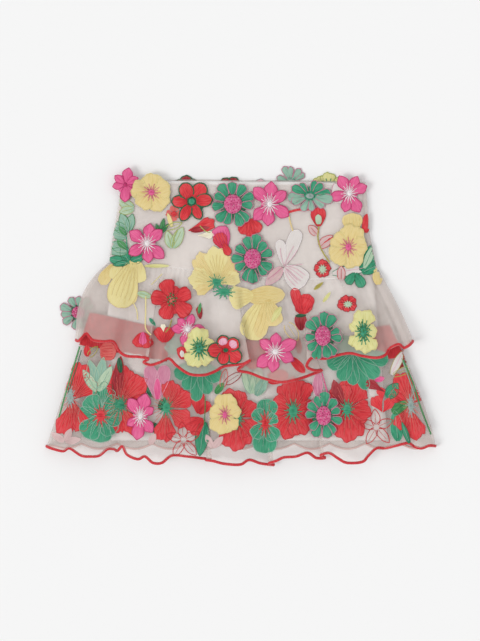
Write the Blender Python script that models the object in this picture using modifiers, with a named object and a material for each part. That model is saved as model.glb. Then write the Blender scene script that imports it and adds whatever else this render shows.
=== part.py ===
"""Child's embroidered tulle skirt lying flat, front up, waist towards +Y.

A straight yoke over a lining carries two gathered tiers with scalloped hems.
Stiff applique flowers lie on the front and along the waist. Metres, +Z up.
"""
import math
from collections import namedtuple

import bpy
from mathutils import Vector
from mathutils.bvhtree import BVHTree

# Driving dimensions, in millimetres.
MM = 0.001
WALL = 1.0            # thickness of a layer of cloth
HEM_CORD = 1.9        # thickness of the satin-stitched cord along a scalloped hem
HEM_CORD_WIDTH = 3.6
TIER_LENGTH = 125     # from a tier's seam to its hem
GAP = 0.3             # room between pieces that touch
SEAM_EDGE = 0.5       # each edge's outer face stops this far from its side seam
YOKE_SHOULDER = 3.0   # how far in from a side seam the yoke rounds over
TIER_SHOULDER = 8.0
BACK_SHOULDER = 5.0
EDGE_SMOOTHING = 12    # a seam's corners are eased over this far each way
WAVE_HEIGHT = 11      # of a tier's tallest wave, when its cloth is shared out along the hem
SIDE_SHARE = 0.12     # of a tier's width beside each side seam, where its outline curves
SIDE_HEM_SHARE = 0.06  # of it where the back hem meets the front one
FOLD_START = 0.1      # the share of a back tier's drop where its folds begin
FOLD_GROWTH = 0.5     # the share over which they grow
PETAL = 1.2           # thickness of a flower
PETAL_POINTS = 4      # outline points to a petal
FLOWER_ROOM = 0.45    # between a flower and what it lies on
FLOWER_REACH = 3.0    # a flower's point clears the cloth this far around it
STEEPEST = 0.45       # slope that a stiff flower bends to
FACE_TESTS = 6        # places along a face's side where its room is measured
LIFT_ROUNDS = 12

Level = namedtuple("Level", "y z")
Edge = namedtuple("Edge", "x y")
Sides = namedtuple("Sides", "y left right")
Wave = namedtuple("Wave", "x y rise")
Rise = namedtuple("Rise", "drop under crest")
Pleat = namedtuple("Pleat", "x half_width height")
Kind = namedtuple("Kind", "petals notch blunt curl dome colour")
Flower = namedtuple("Flower", "name kind x y across along turn on_top")

# Edges that run across the skirt, from the left seam to the right one.
WAIST_FRONT = [Edge(-135, 151), Edge(-60, 148), Edge(0, 146), Edge(60, 147), Edge(140, 149)]
WAIST_BACK = [Edge(-135, 151), Edge(-60, 153), Edge(0, 152), Edge(60, 152), Edge(140, 150)]
YOKE_SEAM_FRONT = [Edge(-149, 60), Edge(-80, 55), Edge(0, 44), Edge(60, 41), Edge(116, 42), Edge(154, 52)]
YOKE_SEAM_BACK = [Edge(-149, 60), Edge(0, 50), Edge(154, 52)]
TIER_SEAM_FRONT = [Edge(-169, 5), Edge(-96, -12), Edge(0, -27), Edge(116, -18), Edge(166, -9)]
TIER_SEAM_BACK = [Edge(-169, 5), Edge(0, -14), Edge(166, -9)]

# Half outlines of the straight pieces, from the waist down.
YOKE_SIDES = [
    Sides(151, -134.5, 139.5), Sides(125, -137, 141.5), Sides(92, -143, 144), Sides(44, -150, 154),
]
LINING_SIDES = [Sides(151, -129, 134), Sides(92, -137, 138), Sides(44, -144, 148), Sides(-139, -166, 164)]

# Heights of the underside of each flat layer above the floor, from the waist down.
YOKE_BACK_LEVELS = [Level(152, 1.5), Level(108, 1.5), Level(95, 0), Level(40, 0)]
YOKE_FRONT_LEVELS = [Level(152, 5.4), Level(108, 5.4), Level(95, 3.9), Level(40, 3.9)]
LINING_BACK_LEVELS = [
    Level(152, 2.8), Level(108, 2.8), Level(95, 1.3), Level(42, 1.3), Level(6, 5.2), Level(-140, 5.2),
]
LINING_RISE = WALL + GAP
YOKE_STATIONS = (130, 108, 95, 80, 66)
LINING_STATIONS = (108, 95, 66, 42, 24, 6, -24, -60, -100, -139)
LINING_INSET = 1.5    # how far the lining stops below the yoke's waist edge
TIER_BACK_LEVELS = [Level(5, 3.9), Level(-76, 3.9), Level(-96, 0), Level(-170, 0)]
SIDE_SEAM_LEVELS = [Level(152, 2.6), Level(-45, 2.6)]
LOWER_SIDE_LEVELS = [Level(5, 6.4), Level(-60, 6.4), Level(-92, 2.6), Level(-170, 2.6)]

# Front hems: where each wave's ridge or hollow lies and how high it stands, 0 to 1.
# X runs back on itself where the cloth lies over in a fold.
UPPER_HEM = [
    Wave(-185, -28, 0.35), Wave(-180, -29, 0.60), Wave(-172, -21, 0.25), Wave(-165, -28, 0.60),
    Wave(-153, -30, 0.85), Wave(-142, -30, 0.75), Wave(-136, -40, 0.30), Wave(-127, -46, 0.65),
    Wave(-113, -47, 0.85), Wave(-103, -49, 0.80), Wave(-108, -53, 0.40), Wave(-100, -56, 0.30),
    Wave(-90, -53, 0.60), Wave(-80, -49, 0.15), Wave(-71, -57, 0.55), Wave(-57, -66, 0.95),
    Wave(-41, -67, 1.00), Wave(-29, -63, 0.70), Wave(-20, -58, 0.55), Wave(-8, -56, 0.75),
    Wave(2, -55, 0.95), Wave(10, -51, 0.90), Wave(3, -56, 0.50), Wave(-3, -62, 0.10),
    Wave(10, -65, 0.20), Wave(26, -71, 0.60), Wave(44, -75, 0.95), Wave(58, -73, 0.90),
    Wave(69, -70, 0.45), Wave(80, -66, 0.12), Wave(90, -62, 0.05), Wave(81, -62, 0.50),
    Wave(73, -57, 0.80), Wave(79, -48, 0.95), Wave(92, -49, 0.85), Wave(108, -45, 0.55),
    Wave(122, -43, 0.45), Wave(135, -46, 0.75), Wave(150, -48, 0.90), Wave(160, -45, 0.60),
    Wave(165, -38, 0.20), Wave(175, -33, 0.70), Wave(181, -37, 0.35), Wave(187, -34, 0.55),
    Wave(192.5, -29, 0.30),
]
LOWER_HEM = [
    Wave(-218, -147, 0.30), Wave(-208, -150, 0.60), Wave(-198, -152, 0.80), Wave(-191, -149, 0.60),
    Wave(-178, -157, 0.80), Wave(-168, -158, 0.95), Wave(-158, -157, 0.90), Wave(-149, -150, 0.60),
    Wave(-142, -150, 0.25), Wave(-138, -152, 0.05), Wave(-132, -147, 0.30), Wave(-127, -156, 0.60),
    Wave(-115, -161, 0.85), Wave(-107, -158, 0.80), Wave(-98, -165, 0.95), Wave(-88, -165, 0.90),
    Wave(-77, -157, 0.65), Wave(-60, -158, 0.75), Wave(-46, -160, 0.35), Wave(-33, -162, 0.05),
    Wave(-39, -162, 0.60), Wave(-31, -163, 0.88), Wave(-19, -166, 0.95), Wave(-1, -167, 0.90),
    Wave(9, -162, 0.60), Wave(22, -166, 0.35), Wave(37, -168, 0.05), Wave(31, -166, 0.58),
    Wave(39, -163, 0.85), Wave(48, -159, 0.90), Wave(61, -158, 0.85), Wave(74, -154, 0.60),
    Wave(84, -160, 0.25), Wave(94, -160, 0.05), Wave(89, -157, 0.50), Wave(98, -154, 0.80),
    Wave(108, -160, 0.90), Wave(118, -165, 1.00), Wave(135, -164, 0.90), Wave(142, -157, 0.65),
    Wave(151, -149, 0.35), Wave(161, -149, 0.05), Wave(173, -146, 0.60), Wave(186, -143, 0.80),
    Wave(193, -147, 0.35), Wave(201, -149, 0.60), Wave(210, -146, 0.50), Wave(218, -147, 0.30),
]

# How a front tier stands off what it lies on, from its seam (drop 0) to its hem (drop 1).
UPPER_RISE = [
    Rise(0, 3.9, 0.5), Rise(0.08, 6.2, 1.8), Rise(0.22, 8.6, 3.6), Rise(0.42, 10.6, 5.6),
    Rise(0.64, 12.4, 7.6), Rise(0.84, 14.4, 9.4), Rise(1, 15.2, 11.0),
]
LOWER_RISE = [
    Rise(0, 8.0, 0.4), Rise(0.08, 8.0, 1.8), Rise(0.24, 8.0, 4.2), Rise(0.42, 8.0, 6.2),
    Rise(0.62, 8.0, 7.6), Rise(0.82, 8.0, 8.8), Rise(1, 8.0, 10.4),
]
# Below the lining's hem a tier settles lower by this much.
HEM_SETTLE = [Level(-144, 0), Level(-158, 2.2)]

# The back tiers are pressed flat, with a few low folds between the stretches that rest.
UPPER_BACK_PLEATS = [
    Pleat(-140, 7, 2.2), Pleat(-104, 9, 2.5), Pleat(-62, 7, 1.9), Pleat(-20, 10, 2.5), Pleat(24, 8, 2.1),
    Pleat(66, 10, 2.5), Pleat(106, 7, 1.8), Pleat(146, 8, 2.4),
]
LOWER_BACK_PLEATS = [
    Pleat(-176, 9, 2.6), Pleat(-134, 8, 2.1), Pleat(-92, 11, 2.8), Pleat(-48, 8, 2.2), Pleat(-6, 10, 2.7),
    Pleat(38, 8, 2.0), Pleat(82, 11, 2.8), Pleat(126, 9, 2.3), Pleat(172, 9, 2.6),
]
UPPER_BACK_HEM = -50
LOWER_BACK_HEM = -147
BACK_SCALLOPS = 11
SCALLOP_DEPTH = 6
PRESSED = 0.15        # a fold lower than this lies flat
BACK_FOLD_TOP = 3.9   # the lining keeps every back fold below this

KINDS = {
    "petunia": Kind(5, 0.86, 1.0, 0.9, 0.3, (0.86, 0.72, 0.33)),
    "poppy": Kind(5, 0.74, 1.0, 1.2, 0.4, (0.83, 0.79, 0.42)),
    "star": Kind(6, 0.56, 0.7, 1.2, 0.2, (0.86, 0.12, 0.37)),
    "round": Kind(6, 0.76, 1.2, 0.5, 0.1, (0.80, 0.05, 0.06)),
    "daisy": Kind(11, 0.64, 1.6, 0.7, 0.8, (0.06, 0.42, 0.26)),
    "pale_daisy": Kind(11, 0.64, 1.6, 0, 0, (0.42, 0.58, 0.52)),
    "back_round": Kind(6, 0.80, 1.0, 0, 0, (0.40, 0.03, 0.05)),
    "back_star": Kind(6, 0.60, 0.7, 0, 0, (0.62, 0.20, 0.34)),
    "back_poppy": Kind(5, 0.80, 1.0, 0, 0, (0.72, 0.70, 0.38)),
}

# Flowers in the order they are sewn on; the later ones lie over the earlier.
FLOWERS = [
    Flower("flower_waist_star_left", "star", -129, 147, 15, 18, 12, True),
    Flower("flower_waist_petunia", "petunia", -100, 138, 23, 22, 0, True),
    Flower("flower_waist_round", "round", -55, 128, 23, 23, 30, True),
    Flower("flower_waist_daisy", "daisy", -9, 125, 24, 26, 0, True),
    Flower("flower_waist_star", "star", 32, 125, 22, 27, 0, True),
    Flower("flower_waist_daisy_folded", "daisy", 77, 134, 25, 17, 8, True),
    Flower("flower_waist_star_right", "star", 121, 137, 20, 24, 20, True),
    Flower("flower_yoke_star", "star", -105, 81, 22, 24, 0, True),
    Flower("flower_yoke_daisy", "daisy", 13, 64, 23, 27, 10, True),
    Flower("flower_yoke_petunia", "petunia", 120, 77, 22, 25, 15, True),
    Flower("flower_upper_round", "round", -77, 18, 22, 26, 0, True),
    Flower("flower_upper_star_folded", "star", -59, -15, 17, 19, 25, True),
    Flower("flower_upper_poppy_left", "poppy", -46, -36, 18, 22, 0, True),
    Flower("flower_upper_round_low", "round", -17, -38, 20, 17, 15, True),
    Flower("flower_upper_star", "star", 38, -40, 24, 23, 0, True),
    Flower("flower_upper_daisy", "daisy", 91, -22, 21, 27, 5, True),
    Flower("flower_upper_poppy_right", "poppy", 136, -18, 16, 24, 10, True),
    Flower("flower_lower_star", "star", -112, -112, 18, 25, 10, True),
    Flower("flower_lower_petunia", "petunia", -18, -110, 17, 24, 0, True),
    Flower("flower_lower_daisy", "daisy", 92, -111, 20, 26, 8, True),
    Flower("flower_side_daisy", "pale_daisy", -182, 4, 21, 19, 0, False),
    Flower("flower_back_round_left", "back_round", -62, 141, 16, 16, 0, False),
    Flower("flower_back_round", "back_round", -13, 141, 17, 15, 30, False),
    Flower("flower_back_star", "back_star", 21, 139, 15, 14, 0, False),
    Flower("flower_back_daisy", "pale_daisy", 56, 149.6, 17, 19, 0, False),
    Flower("flower_back_poppy", "back_poppy", 98, 143, 18, 19, 0, False),
]
SIDE_FLOWER_LIFT = 1.6    # the back tier lies over the flower at its side
SIDE_FLOWER_AREA = 44
SIDE_FLOWER_FADE = 3      # how steeply it comes down again around the flower

WHITE = (0.80, 0.79, 0.78)
SHEER = (0.78, 0.74, 0.74)


def clear_scene():
    for thing in list(bpy.data.objects):
        bpy.data.objects.remove(thing)


def along(rows, key, value, column):
    """Value of a column where the key column has this value, joined by straight lines."""
    ordered = sorted(rows, key=lambda row: getattr(row, key))
    value = min(max(value, getattr(ordered[0], key)), getattr(ordered[-1], key))
    for low, high in zip(ordered, ordered[1:]):
        start, end = getattr(low, key), getattr(high, key)
        if value <= end:
            share = (value - start) / (end - start)
            return getattr(low, column) + share * (getattr(high, column) - getattr(low, column))
    return getattr(ordered[-1], column)


def edge_y(edge, x):
    """Height up the skirt of an edge, as a smooth curve through its rows."""
    return sum(along(edge, "x", x + step * EDGE_SMOOTHING, "y") for step in (-1, -0.5, 0, 0.5, 1)) / 5


def spline(rows, place, column):
    """Catmull-Rom curve through the rows; place counts rows from 0."""
    first = min(int(place), len(rows) - 2)
    share = place - first
    p0, p1, p2, p3 = (
        getattr(rows[min(max(first + step, 0), len(rows) - 1)], column) for step in (-1, 0, 1, 2))
    return 0.5 * (
        2 * p1 + (p2 - p0) * share + (2 * p0 - 5 * p1 + 4 * p2 - p3) * share ** 2
        + (3 * p1 - p0 - 3 * p2 + p3) * share ** 3)


def smoothstep(value):
    value = min(max(value, 0), 1)
    return value * value * (3 - 2 * value)


def rounded(distance, shoulder):
    """Share of full height at this distance in from a side seam."""
    inward = min(max(distance / shoulder, 0), 1)
    return math.sqrt(1 - (1 - inward) ** 2)


def shoulder_shares(width, shoulder):
    """Places across a panel, 0 to 1, close together where it rounds over at its sides."""
    turns = (0, 18, 36, 54, 72, 90)
    near = [shoulder * (1 - math.cos(math.radians(turn))) / width for turn in turns]
    return near, [1 - share for share in reversed(near)]


def material(name, colour):
    made = bpy.data.materials.new(name)
    made.use_nodes = True
    shader = made.node_tree.nodes["Principled BSDF"]
    shader.inputs["Base Color"].default_value = (*colour, 1)
    shader.inputs["Roughness"].default_value = 0.8
    shader.inputs["Metallic"].default_value = 0
    return made


def add_mesh(name, points, faces, colour):
    """An object from points in millimetres, in the skirt's collection."""
    mesh = bpy.data.meshes.new(name)
    mesh.from_pydata([Vector(point) * MM for point in points], [], faces)
    mesh.validate()
    mesh.materials.append(material(name, colour))
    made = bpy.data.objects.new(name, mesh)
    bpy.data.collections["tulle_skirt"].objects.link(made)
    mesh.shade_smooth()
    return made


def add_sheet(name, rows, colour, outward, corded=False):
    """A wall of cloth from rows of points on its outer face; outward is 1 up, -1 down."""
    columns = len(rows[0])
    points = [point for row in rows for point in row]
    faces = []
    for row in range(len(rows) - 1):
        for column in range(columns - 1):
            corner = row * columns + column
            face = (corner, corner + columns, corner + columns + 1, corner + 1)
            faces.append(face if outward > 0 else face[::-1])
    sheet = add_mesh(name, points, faces, colour)
    wall = sheet.modifiers.new("wall", "SOLIDIFY")
    wall.thickness = WALL * MM
    wall.offset = -1
    wall.use_rim = True
    if corded:
        wall.thickness = HEM_CORD * MM
        thick = sheet.vertex_groups.new(name="cord")
        cord_from = (len(rows) - 2) * columns
        thick.add(range(cord_from), WALL / HEM_CORD, "REPLACE")
        thick.add(range(cord_from, len(points)), 1, "REPLACE")
        wall.vertex_group = "cord"
    return sheet


def side_distance(x, y, sides):
    return min(x - along(sides, "y", y, "left"), along(sides, "y", y, "right") - x)


def add_yoke(name, waist, seam, levels, outward, colour):
    """A straight panel from the waist to the tier seam, rounding over at its side seams."""
    left, right = shoulder_shares(YOKE_SIDES[0].right - YOKE_SIDES[0].left, YOKE_SHOULDER)
    shares = left + [step / 12 for step in range(1, 12)] + right
    rows = []
    for station in ("waist", *YOKE_STATIONS, "seam"):
        row = []
        for share in shares:
            waist_x = YOKE_SIDES[0].left + share * (YOKE_SIDES[0].right - YOKE_SIDES[0].left)
            y = station
            if station == "waist":
                y = edge_y(waist, waist_x)
            elif station == "seam":
                seam_x = YOKE_SIDES[-1].left + share * (YOKE_SIDES[-1].right - YOKE_SIDES[-1].left)
                y = edge_y(seam, seam_x) + GAP
            edge_left = along(YOKE_SIDES, "y", y, "left")
            edge_right = along(YOKE_SIDES, "y", y, "right")
            x = edge_left + share * (edge_right - edge_left)
            seam_z = along(SIDE_SEAM_LEVELS, "y", y, "z") + outward * SEAM_EDGE
            flat_z = along(levels, "y", y, "z") + (WALL if outward > 0 else 0)
            shape = rounded(side_distance(x, y, YOKE_SIDES), YOKE_SHOULDER)
            row.append((x, y, seam_z + shape * (flat_z - seam_z)))
        rows.append(row)
    return add_sheet(name, rows, colour, outward)


def add_lining(name, waist, raised, outward):
    """A plain panel from the waist to above the lower hem, bent where its levels change."""
    rows = []
    for station in (None, *LINING_STATIONS):
        row = []
        for step in range(9):
            share = step / 8
            waist_x = LINING_SIDES[0].left + share * (LINING_SIDES[0].right - LINING_SIDES[0].left)
            y = edge_y(waist, waist_x) - LINING_INSET if station is None else station
            left, right = along(LINING_SIDES, "y", y, "left"), along(LINING_SIDES, "y", y, "right")
            x = left + share * (right - left)
            z = along(LINING_BACK_LEVELS, "y", y, "z") + raised + (WALL if outward > 0 else 0)
            row.append((x, y, z))
        rows.append(row)
    return add_sheet(name, rows, WHITE, outward)


def hem_places(rows):
    """Places along a hem's rows: two steps to a wave, and more by the side seams."""
    last = len(rows) - 1
    ends = (0, 0.06, 0.16, 0.32, 0.55, 0.78)
    middle = [step / 2 for step in range(2, 2 * (last - 1) + 1)]
    return list(ends) + middle + [last - place for place in reversed(ends)]


def cloth_shares(rows, places):
    """How far along the hem's cloth each place lies, 0 to 1."""
    spots = []
    for place in places:
        height = WAVE_HEIGHT * spline(rows, place, "rise")
        spots.append(Vector((spline(rows, place, "x"), spline(rows, place, "y"), height)))
    walked = [0]
    for here, there in zip(spots, spots[1:]):
        walked.append(walked[-1] + (there - here).length)
    return [distance / walked[-1] for distance in walked]


def tier_drops(rises):
    """Places down a tier that its front and back share, the last two at the cord."""
    return [rise.drop for rise in rises[:-1]] + [1 - HEM_CORD_WIDTH / TIER_LENGTH, 1]


def add_front_tier(name, hem, seam, rises, side_levels, bulge, colour):
    """A gathered tier: a straight seam above opens into the waves and folds of its hem."""
    places = hem_places(hem)
    shares = cloth_shares(hem, places)
    rows = []
    for drop in tier_drops(rises):
        under, crest = along(rises, "drop", drop, "under"), along(rises, "drop", drop, "crest")
        row = []
        for place, share in zip(places, shares):
            seam_x = seam[0].x + share * (seam[-1].x - seam[0].x)
            hem_x, hem_y = spline(hem, place, "x"), spline(hem, place, "y")
            power = bulge[0] + share * (bulge[1] - bulge[0])
            edge = max(0, 1 - min(share, 1 - share) / SIDE_SHARE)
            spread = 1 - (1 - drop) ** (1 + (power - 1) * edge)
            x = seam_x + spread * (hem_x - seam_x)
            y = (1 - drop) * (edge_y(seam, seam_x) - GAP) + drop * hem_y
            height = crest * min(max(spline(hem, place, "rise"), 0.02), 1.05)
            row.append([x, y, under + WALL + height - along(HEM_SETTLE, "y", y, "z")])
        left, right = row[0][0], row[-1][0]
        for point in row:
            x, y, z = point
            seam_z = along(side_levels, "y", y, "z") + SEAM_EDGE
            point[2] = seam_z + rounded(min(x - left, right - x), TIER_SHOULDER) * (z - seam_z)
        rows.append(row)
    return add_sheet(name, rows, colour, 1, corded=True)


def add_back_tier(
        name, hem_front, hem_y, seam, rises, levels, side_levels, pleats, bulge, lifted, colour):
    """A tier pressed flat under the skirt, with low folds that grow towards its hem."""
    hem_left, hem_right = hem_front[0].x, hem_front[-1].x
    left, right = shoulder_shares(hem_right - hem_left, BACK_SHOULDER)
    middle = 3 * BACK_SCALLOPS
    shares = left + [step / middle for step in range(1, middle)] + right
    rows = []
    for drop in tier_drops(rises):
        row = []
        for share in shares:
            edge = max(0, 1 - min(share, 1 - share) / SIDE_SHARE)
            power = 1 + ((bulge[0] if share < 0.5 else bulge[1]) - 1) * edge
            spread = 1 - (1 - drop) ** power
            seam_x = seam[0].x + share * (seam[-1].x - seam[0].x)
            x = seam_x + spread * (hem_left + share * (hem_right - hem_left) - seam_x)
            side_y = hem_front[0].y + share * (hem_front[-1].y - hem_front[0].y)
            inset = smoothstep(min(share, 1 - share) / SIDE_HEM_SHARE)
            scallop = SCALLOP_DEPTH * abs(math.sin(math.pi * BACK_SCALLOPS * share))
            low_y = (1 - inset) * side_y + inset * (hem_y - scallop + SCALLOP_DEPTH / 2)
            y = (1 - drop) * (edge_y(seam, seam_x) - GAP) + drop * low_y
            fold = sum(p.height * math.exp(-((x - p.x) / p.half_width) ** 2) for p in pleats)
            fold *= smoothstep((drop - FOLD_START) / FOLD_GROWTH)
            z = min(along(levels, "y", y, "z") + (fold if fold > PRESSED else 0), BACK_FOLD_TOP)
            if lifted:
                away = math.hypot(x - lifted.x, y - lifted.y) / SIDE_FLOWER_AREA
                z = max(z, SIDE_FLOWER_LIFT * smoothstep(SIDE_FLOWER_FADE * (1 - away)))
            seam_z = along(side_levels, "y", y, "z") - SEAM_EDGE
            hem_width = min(share, 1 - share) * (hem_right - hem_left)
            row.append((x, y, seam_z + rounded(hem_width, BACK_SHOULDER) * (z - seam_z)))
        rows.append(row)
    return add_sheet(name, rows, colour, -1)


def flower_points(flower, kind):
    """Rings of plan points from the centre out, with how far each one curls up."""
    count = kind.petals * PETAL_POINTS
    rings = [[(flower.x, flower.y, kind.dome)]]
    for ring in (0.4, 1.0):
        points = []
        for step in range(count):
            angle = math.radians(flower.turn) + 2 * math.pi * step / count
            petal = abs((step / PETAL_POINTS) % 1 - 0.5) * 2
            bulge = 1 - petal ** (2 * kind.blunt + 1)
            reach = ring if ring < 1 else kind.notch + (1 - kind.notch) * bulge
            lift = kind.dome * 0.6 if ring < 1 else kind.curl * bulge
            points.append((
                flower.x + flower.across * reach * math.sin(angle),
                flower.y + flower.along * reach * math.cos(angle), lift))
        rings.append(points)
    return rings


def height_below(x, y, trees, reach=0.0):
    """Highest cloth or flower around this place, or None past every edge."""
    spots = [(0, 0)]
    if reach:
        angles = [turn * math.pi / 4 for turn in range(8)]
        spots += [(reach * math.cos(angle), reach * math.sin(angle)) for angle in angles]
    found = []
    for aside, up in spots:
        start = Vector((x + aside, y + up, 100)) * MM
        for tree in trees:
            hit = tree.ray_cast(start, Vector((0, 0, -1)))[0]
            if hit:
                found.append(hit.z / MM)
    return max(found) if found else None


def raise_clear(points, faces, trees):
    """Lift the corners of each face until none of it dips into what lies under it."""
    steps = range(FACE_TESTS + 1)
    shares = [(a, b, FACE_TESTS - a - b) for a in steps for b in steps if a + b <= FACE_TESTS]
    for _ in range(LIFT_ROUNDS):
        moved = False
        for face in faces:
            corners = [points[index] for index in face]
            short = 0
            for share in shares:
                x, y, z = (
                    sum(s * c[axis] for s, c in zip(share, corners)) / FACE_TESTS for axis in range(3))
                level = height_below(x, y, trees)
                if level is not None:
                    short = max(short, level + FLOWER_ROOM - z)
            if short > 0.01:
                moved = True
                for corner in corners:
                    corner[2] += short
        for point in points:
            point[2] = max(
                other[2] - STEEPEST * math.dist(point[:2], other[:2]) for other in points)
        if not moved:
            return


def add_flower(flower, trees):
    """A stiff flower: a thin body with its petals' outline, resting just above the cloth."""
    kind = KINDS[flower.kind]
    rings = flower_points(flower, kind)
    if flower.on_top:
        levels = [[height_below(x, y, trees, FLOWER_REACH) for x, y, _ in ring] for ring in rings]
        known = [z for ring in levels for z in ring if z is not None]
        middle = sum(known) / len(known)
    points = []
    for number, ring in enumerate(rings):
        for place, (x, y, lift) in enumerate(ring):
            level = 0
            if flower.on_top:
                level = levels[number][place]
                level = FLOWER_ROOM + (middle if level is None else level)
            points.append([x, y, level + lift])
    faces = []
    count = len(rings[1])
    for step in range(count):
        after = (step + 1) % count
        inner, inner_after = 1 + step, 1 + after
        outer, outer_after = inner + count, inner_after + count
        faces.append((0, inner_after, inner))
        faces.append((inner, inner_after, outer_after))
        faces.append((inner, outer_after, outer))
    if flower.on_top:
        raise_clear(points, faces, trees)
    made = add_mesh(flower.name, points, faces, kind.colour)
    body = made.modifiers.new("body", "SOLIDIFY")
    body.thickness = PETAL * MM
    body.offset = 1
    return made


def tree_of(thing):
    bpy.context.view_layer.update()
    return BVHTree.FromObject(thing, bpy.context.evaluated_depsgraph_get())


clear_scene()
bpy.context.scene.collection.children.link(bpy.data.collections.new("tulle_skirt"))

add_yoke("yoke_back", WAIST_BACK, YOKE_SEAM_BACK, YOKE_BACK_LEVELS, -1, SHEER)
add_yoke("yoke_front", WAIST_FRONT, YOKE_SEAM_FRONT, YOKE_FRONT_LEVELS, 1, SHEER)
add_lining("lining_back", WAIST_BACK, 0, -1)
add_lining("lining_front", WAIST_FRONT, LINING_RISE, 1)

upper_bulge, lower_bulge = (3.0, 1.2), (1.0, 1.3)
side_flower = next(flower for flower in FLOWERS if flower.name == "flower_side_daisy")
flat_on_floor = [Level(152, 0), Level(-170, 0)]
add_back_tier(
    "upper_tier_back", UPPER_HEM, UPPER_BACK_HEM, YOKE_SEAM_BACK, UPPER_RISE, flat_on_floor,
    SIDE_SEAM_LEVELS, UPPER_BACK_PLEATS, upper_bulge, side_flower, SHEER)
add_back_tier(
    "lower_tier_back", LOWER_HEM, LOWER_BACK_HEM, TIER_SEAM_BACK, LOWER_RISE, TIER_BACK_LEVELS,
    LOWER_SIDE_LEVELS, LOWER_BACK_PLEATS, lower_bulge, None, SHEER)
add_front_tier(
    "lower_tier_front", LOWER_HEM, TIER_SEAM_FRONT, LOWER_RISE, LOWER_SIDE_LEVELS, lower_bulge, SHEER)
add_front_tier(
    "upper_tier_front", UPPER_HEM, YOKE_SEAM_FRONT, UPPER_RISE, SIDE_SEAM_LEVELS, upper_bulge, SHEER)

laid_names = ("yoke_front", "upper_tier_front", "lower_tier_front")
laid = [tree_of(bpy.data.objects[name]) for name in laid_names]
for flower in FLOWERS:
    made = add_flower(flower, laid)
    if flower.on_top:
        laid.append(tree_of(made))
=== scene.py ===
"""A child's tulle skirt lying flat, front up: the looks of each piece, in the order it is sewn."""
import math
from collections import namedtuple

import bpy
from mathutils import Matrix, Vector
from mathutils.bvhtree import BVHTree


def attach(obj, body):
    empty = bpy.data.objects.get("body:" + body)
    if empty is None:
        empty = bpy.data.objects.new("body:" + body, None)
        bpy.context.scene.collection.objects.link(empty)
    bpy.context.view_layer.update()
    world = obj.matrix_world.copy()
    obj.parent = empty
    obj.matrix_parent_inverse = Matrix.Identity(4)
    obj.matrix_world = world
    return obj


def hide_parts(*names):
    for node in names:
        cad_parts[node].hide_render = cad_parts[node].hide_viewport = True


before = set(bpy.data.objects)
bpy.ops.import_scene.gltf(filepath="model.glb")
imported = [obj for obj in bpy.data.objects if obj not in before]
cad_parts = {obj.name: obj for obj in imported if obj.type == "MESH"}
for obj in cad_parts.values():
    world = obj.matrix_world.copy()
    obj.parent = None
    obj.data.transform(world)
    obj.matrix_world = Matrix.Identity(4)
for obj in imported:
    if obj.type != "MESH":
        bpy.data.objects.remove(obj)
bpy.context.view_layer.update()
MM = 0.001


# The skirt lies on a plain pale table. Soft daylight comes from the left, and the camera looks
# straight down from well above, as for a catalogue picture of clothes laid flat.
PICTURE_WIDTH = 0.5376          # metres of table across the picture
PICTURE_MIDDLE = (-0.0011, -0.005)
CAMERA_HEIGHT = 2.6
TABLE_REACH = 4
TABLE_TOP = -0.0005             # a little under the skirt
TABLE_GREY = 0.868
DAYLIGHT = 0.80
WINDOW = 1.15
WINDOW_WIDE = math.radians(24)  # how wide the window seems from the skirt, which softens its shadows
WINDOW_TILT = (math.radians(16), math.radians(-42), 0)
SHEER_LAYERS = 24               # light passes this many layers of sheer cloth

table_mesh = bpy.data.meshes.new("table")
table_mesh.from_pydata(
    [(x * TABLE_REACH, y * TABLE_REACH, TABLE_TOP) for x, y in ((-1, -1), (1, -1), (1, 1), (-1, 1))],
    [], [(0, 1, 2, 3)])
table_top = bpy.data.objects.new("table", table_mesh)
bpy.context.scene.collection.objects.link(table_top)
matt_white = bpy.data.materials.new("matt_white_table")
matt_white.use_nodes = True
white_inputs = matt_white.node_tree.nodes["Principled BSDF"].inputs
white_inputs["Base Color"].default_value = (TABLE_GREY, TABLE_GREY, TABLE_GREY, 1)
white_inputs["Roughness"].default_value = 0.9
white_inputs["Specular IOR Level"].default_value = 0.1
table_mesh.materials.append(matt_white)

camera = bpy.data.objects.new("camera", bpy.data.cameras.new("camera"))
camera.data.sensor_fit = "HORIZONTAL"
camera.data.lens = camera.data.sensor_width * CAMERA_HEIGHT / PICTURE_WIDTH
camera.location = (*PICTURE_MIDDLE, CAMERA_HEIGHT)
camera.data.clip_end = 30
bpy.context.scene.collection.objects.link(camera)
bpy.context.scene.camera = camera

sky = bpy.data.worlds.new("daylight")
sky.use_nodes = True
sky.node_tree.nodes["Background"].inputs["Color"].default_value = (1, 1, 1, 1)
sky.node_tree.nodes["Background"].inputs["Strength"].default_value = DAYLIGHT
bpy.context.scene.world = sky
window = bpy.data.objects.new("window", bpy.data.lights.new("window", "SUN"))
window.data.energy = WINDOW
window.data.angle = WINDOW_WIDE
window.rotation_euler = WINDOW_TILT
bpy.context.scene.collection.objects.link(window)
bpy.context.scene.view_settings.view_transform = "Standard"
bpy.context.scene.cycles.transparent_max_bounces = SHEER_LAYERS


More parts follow.
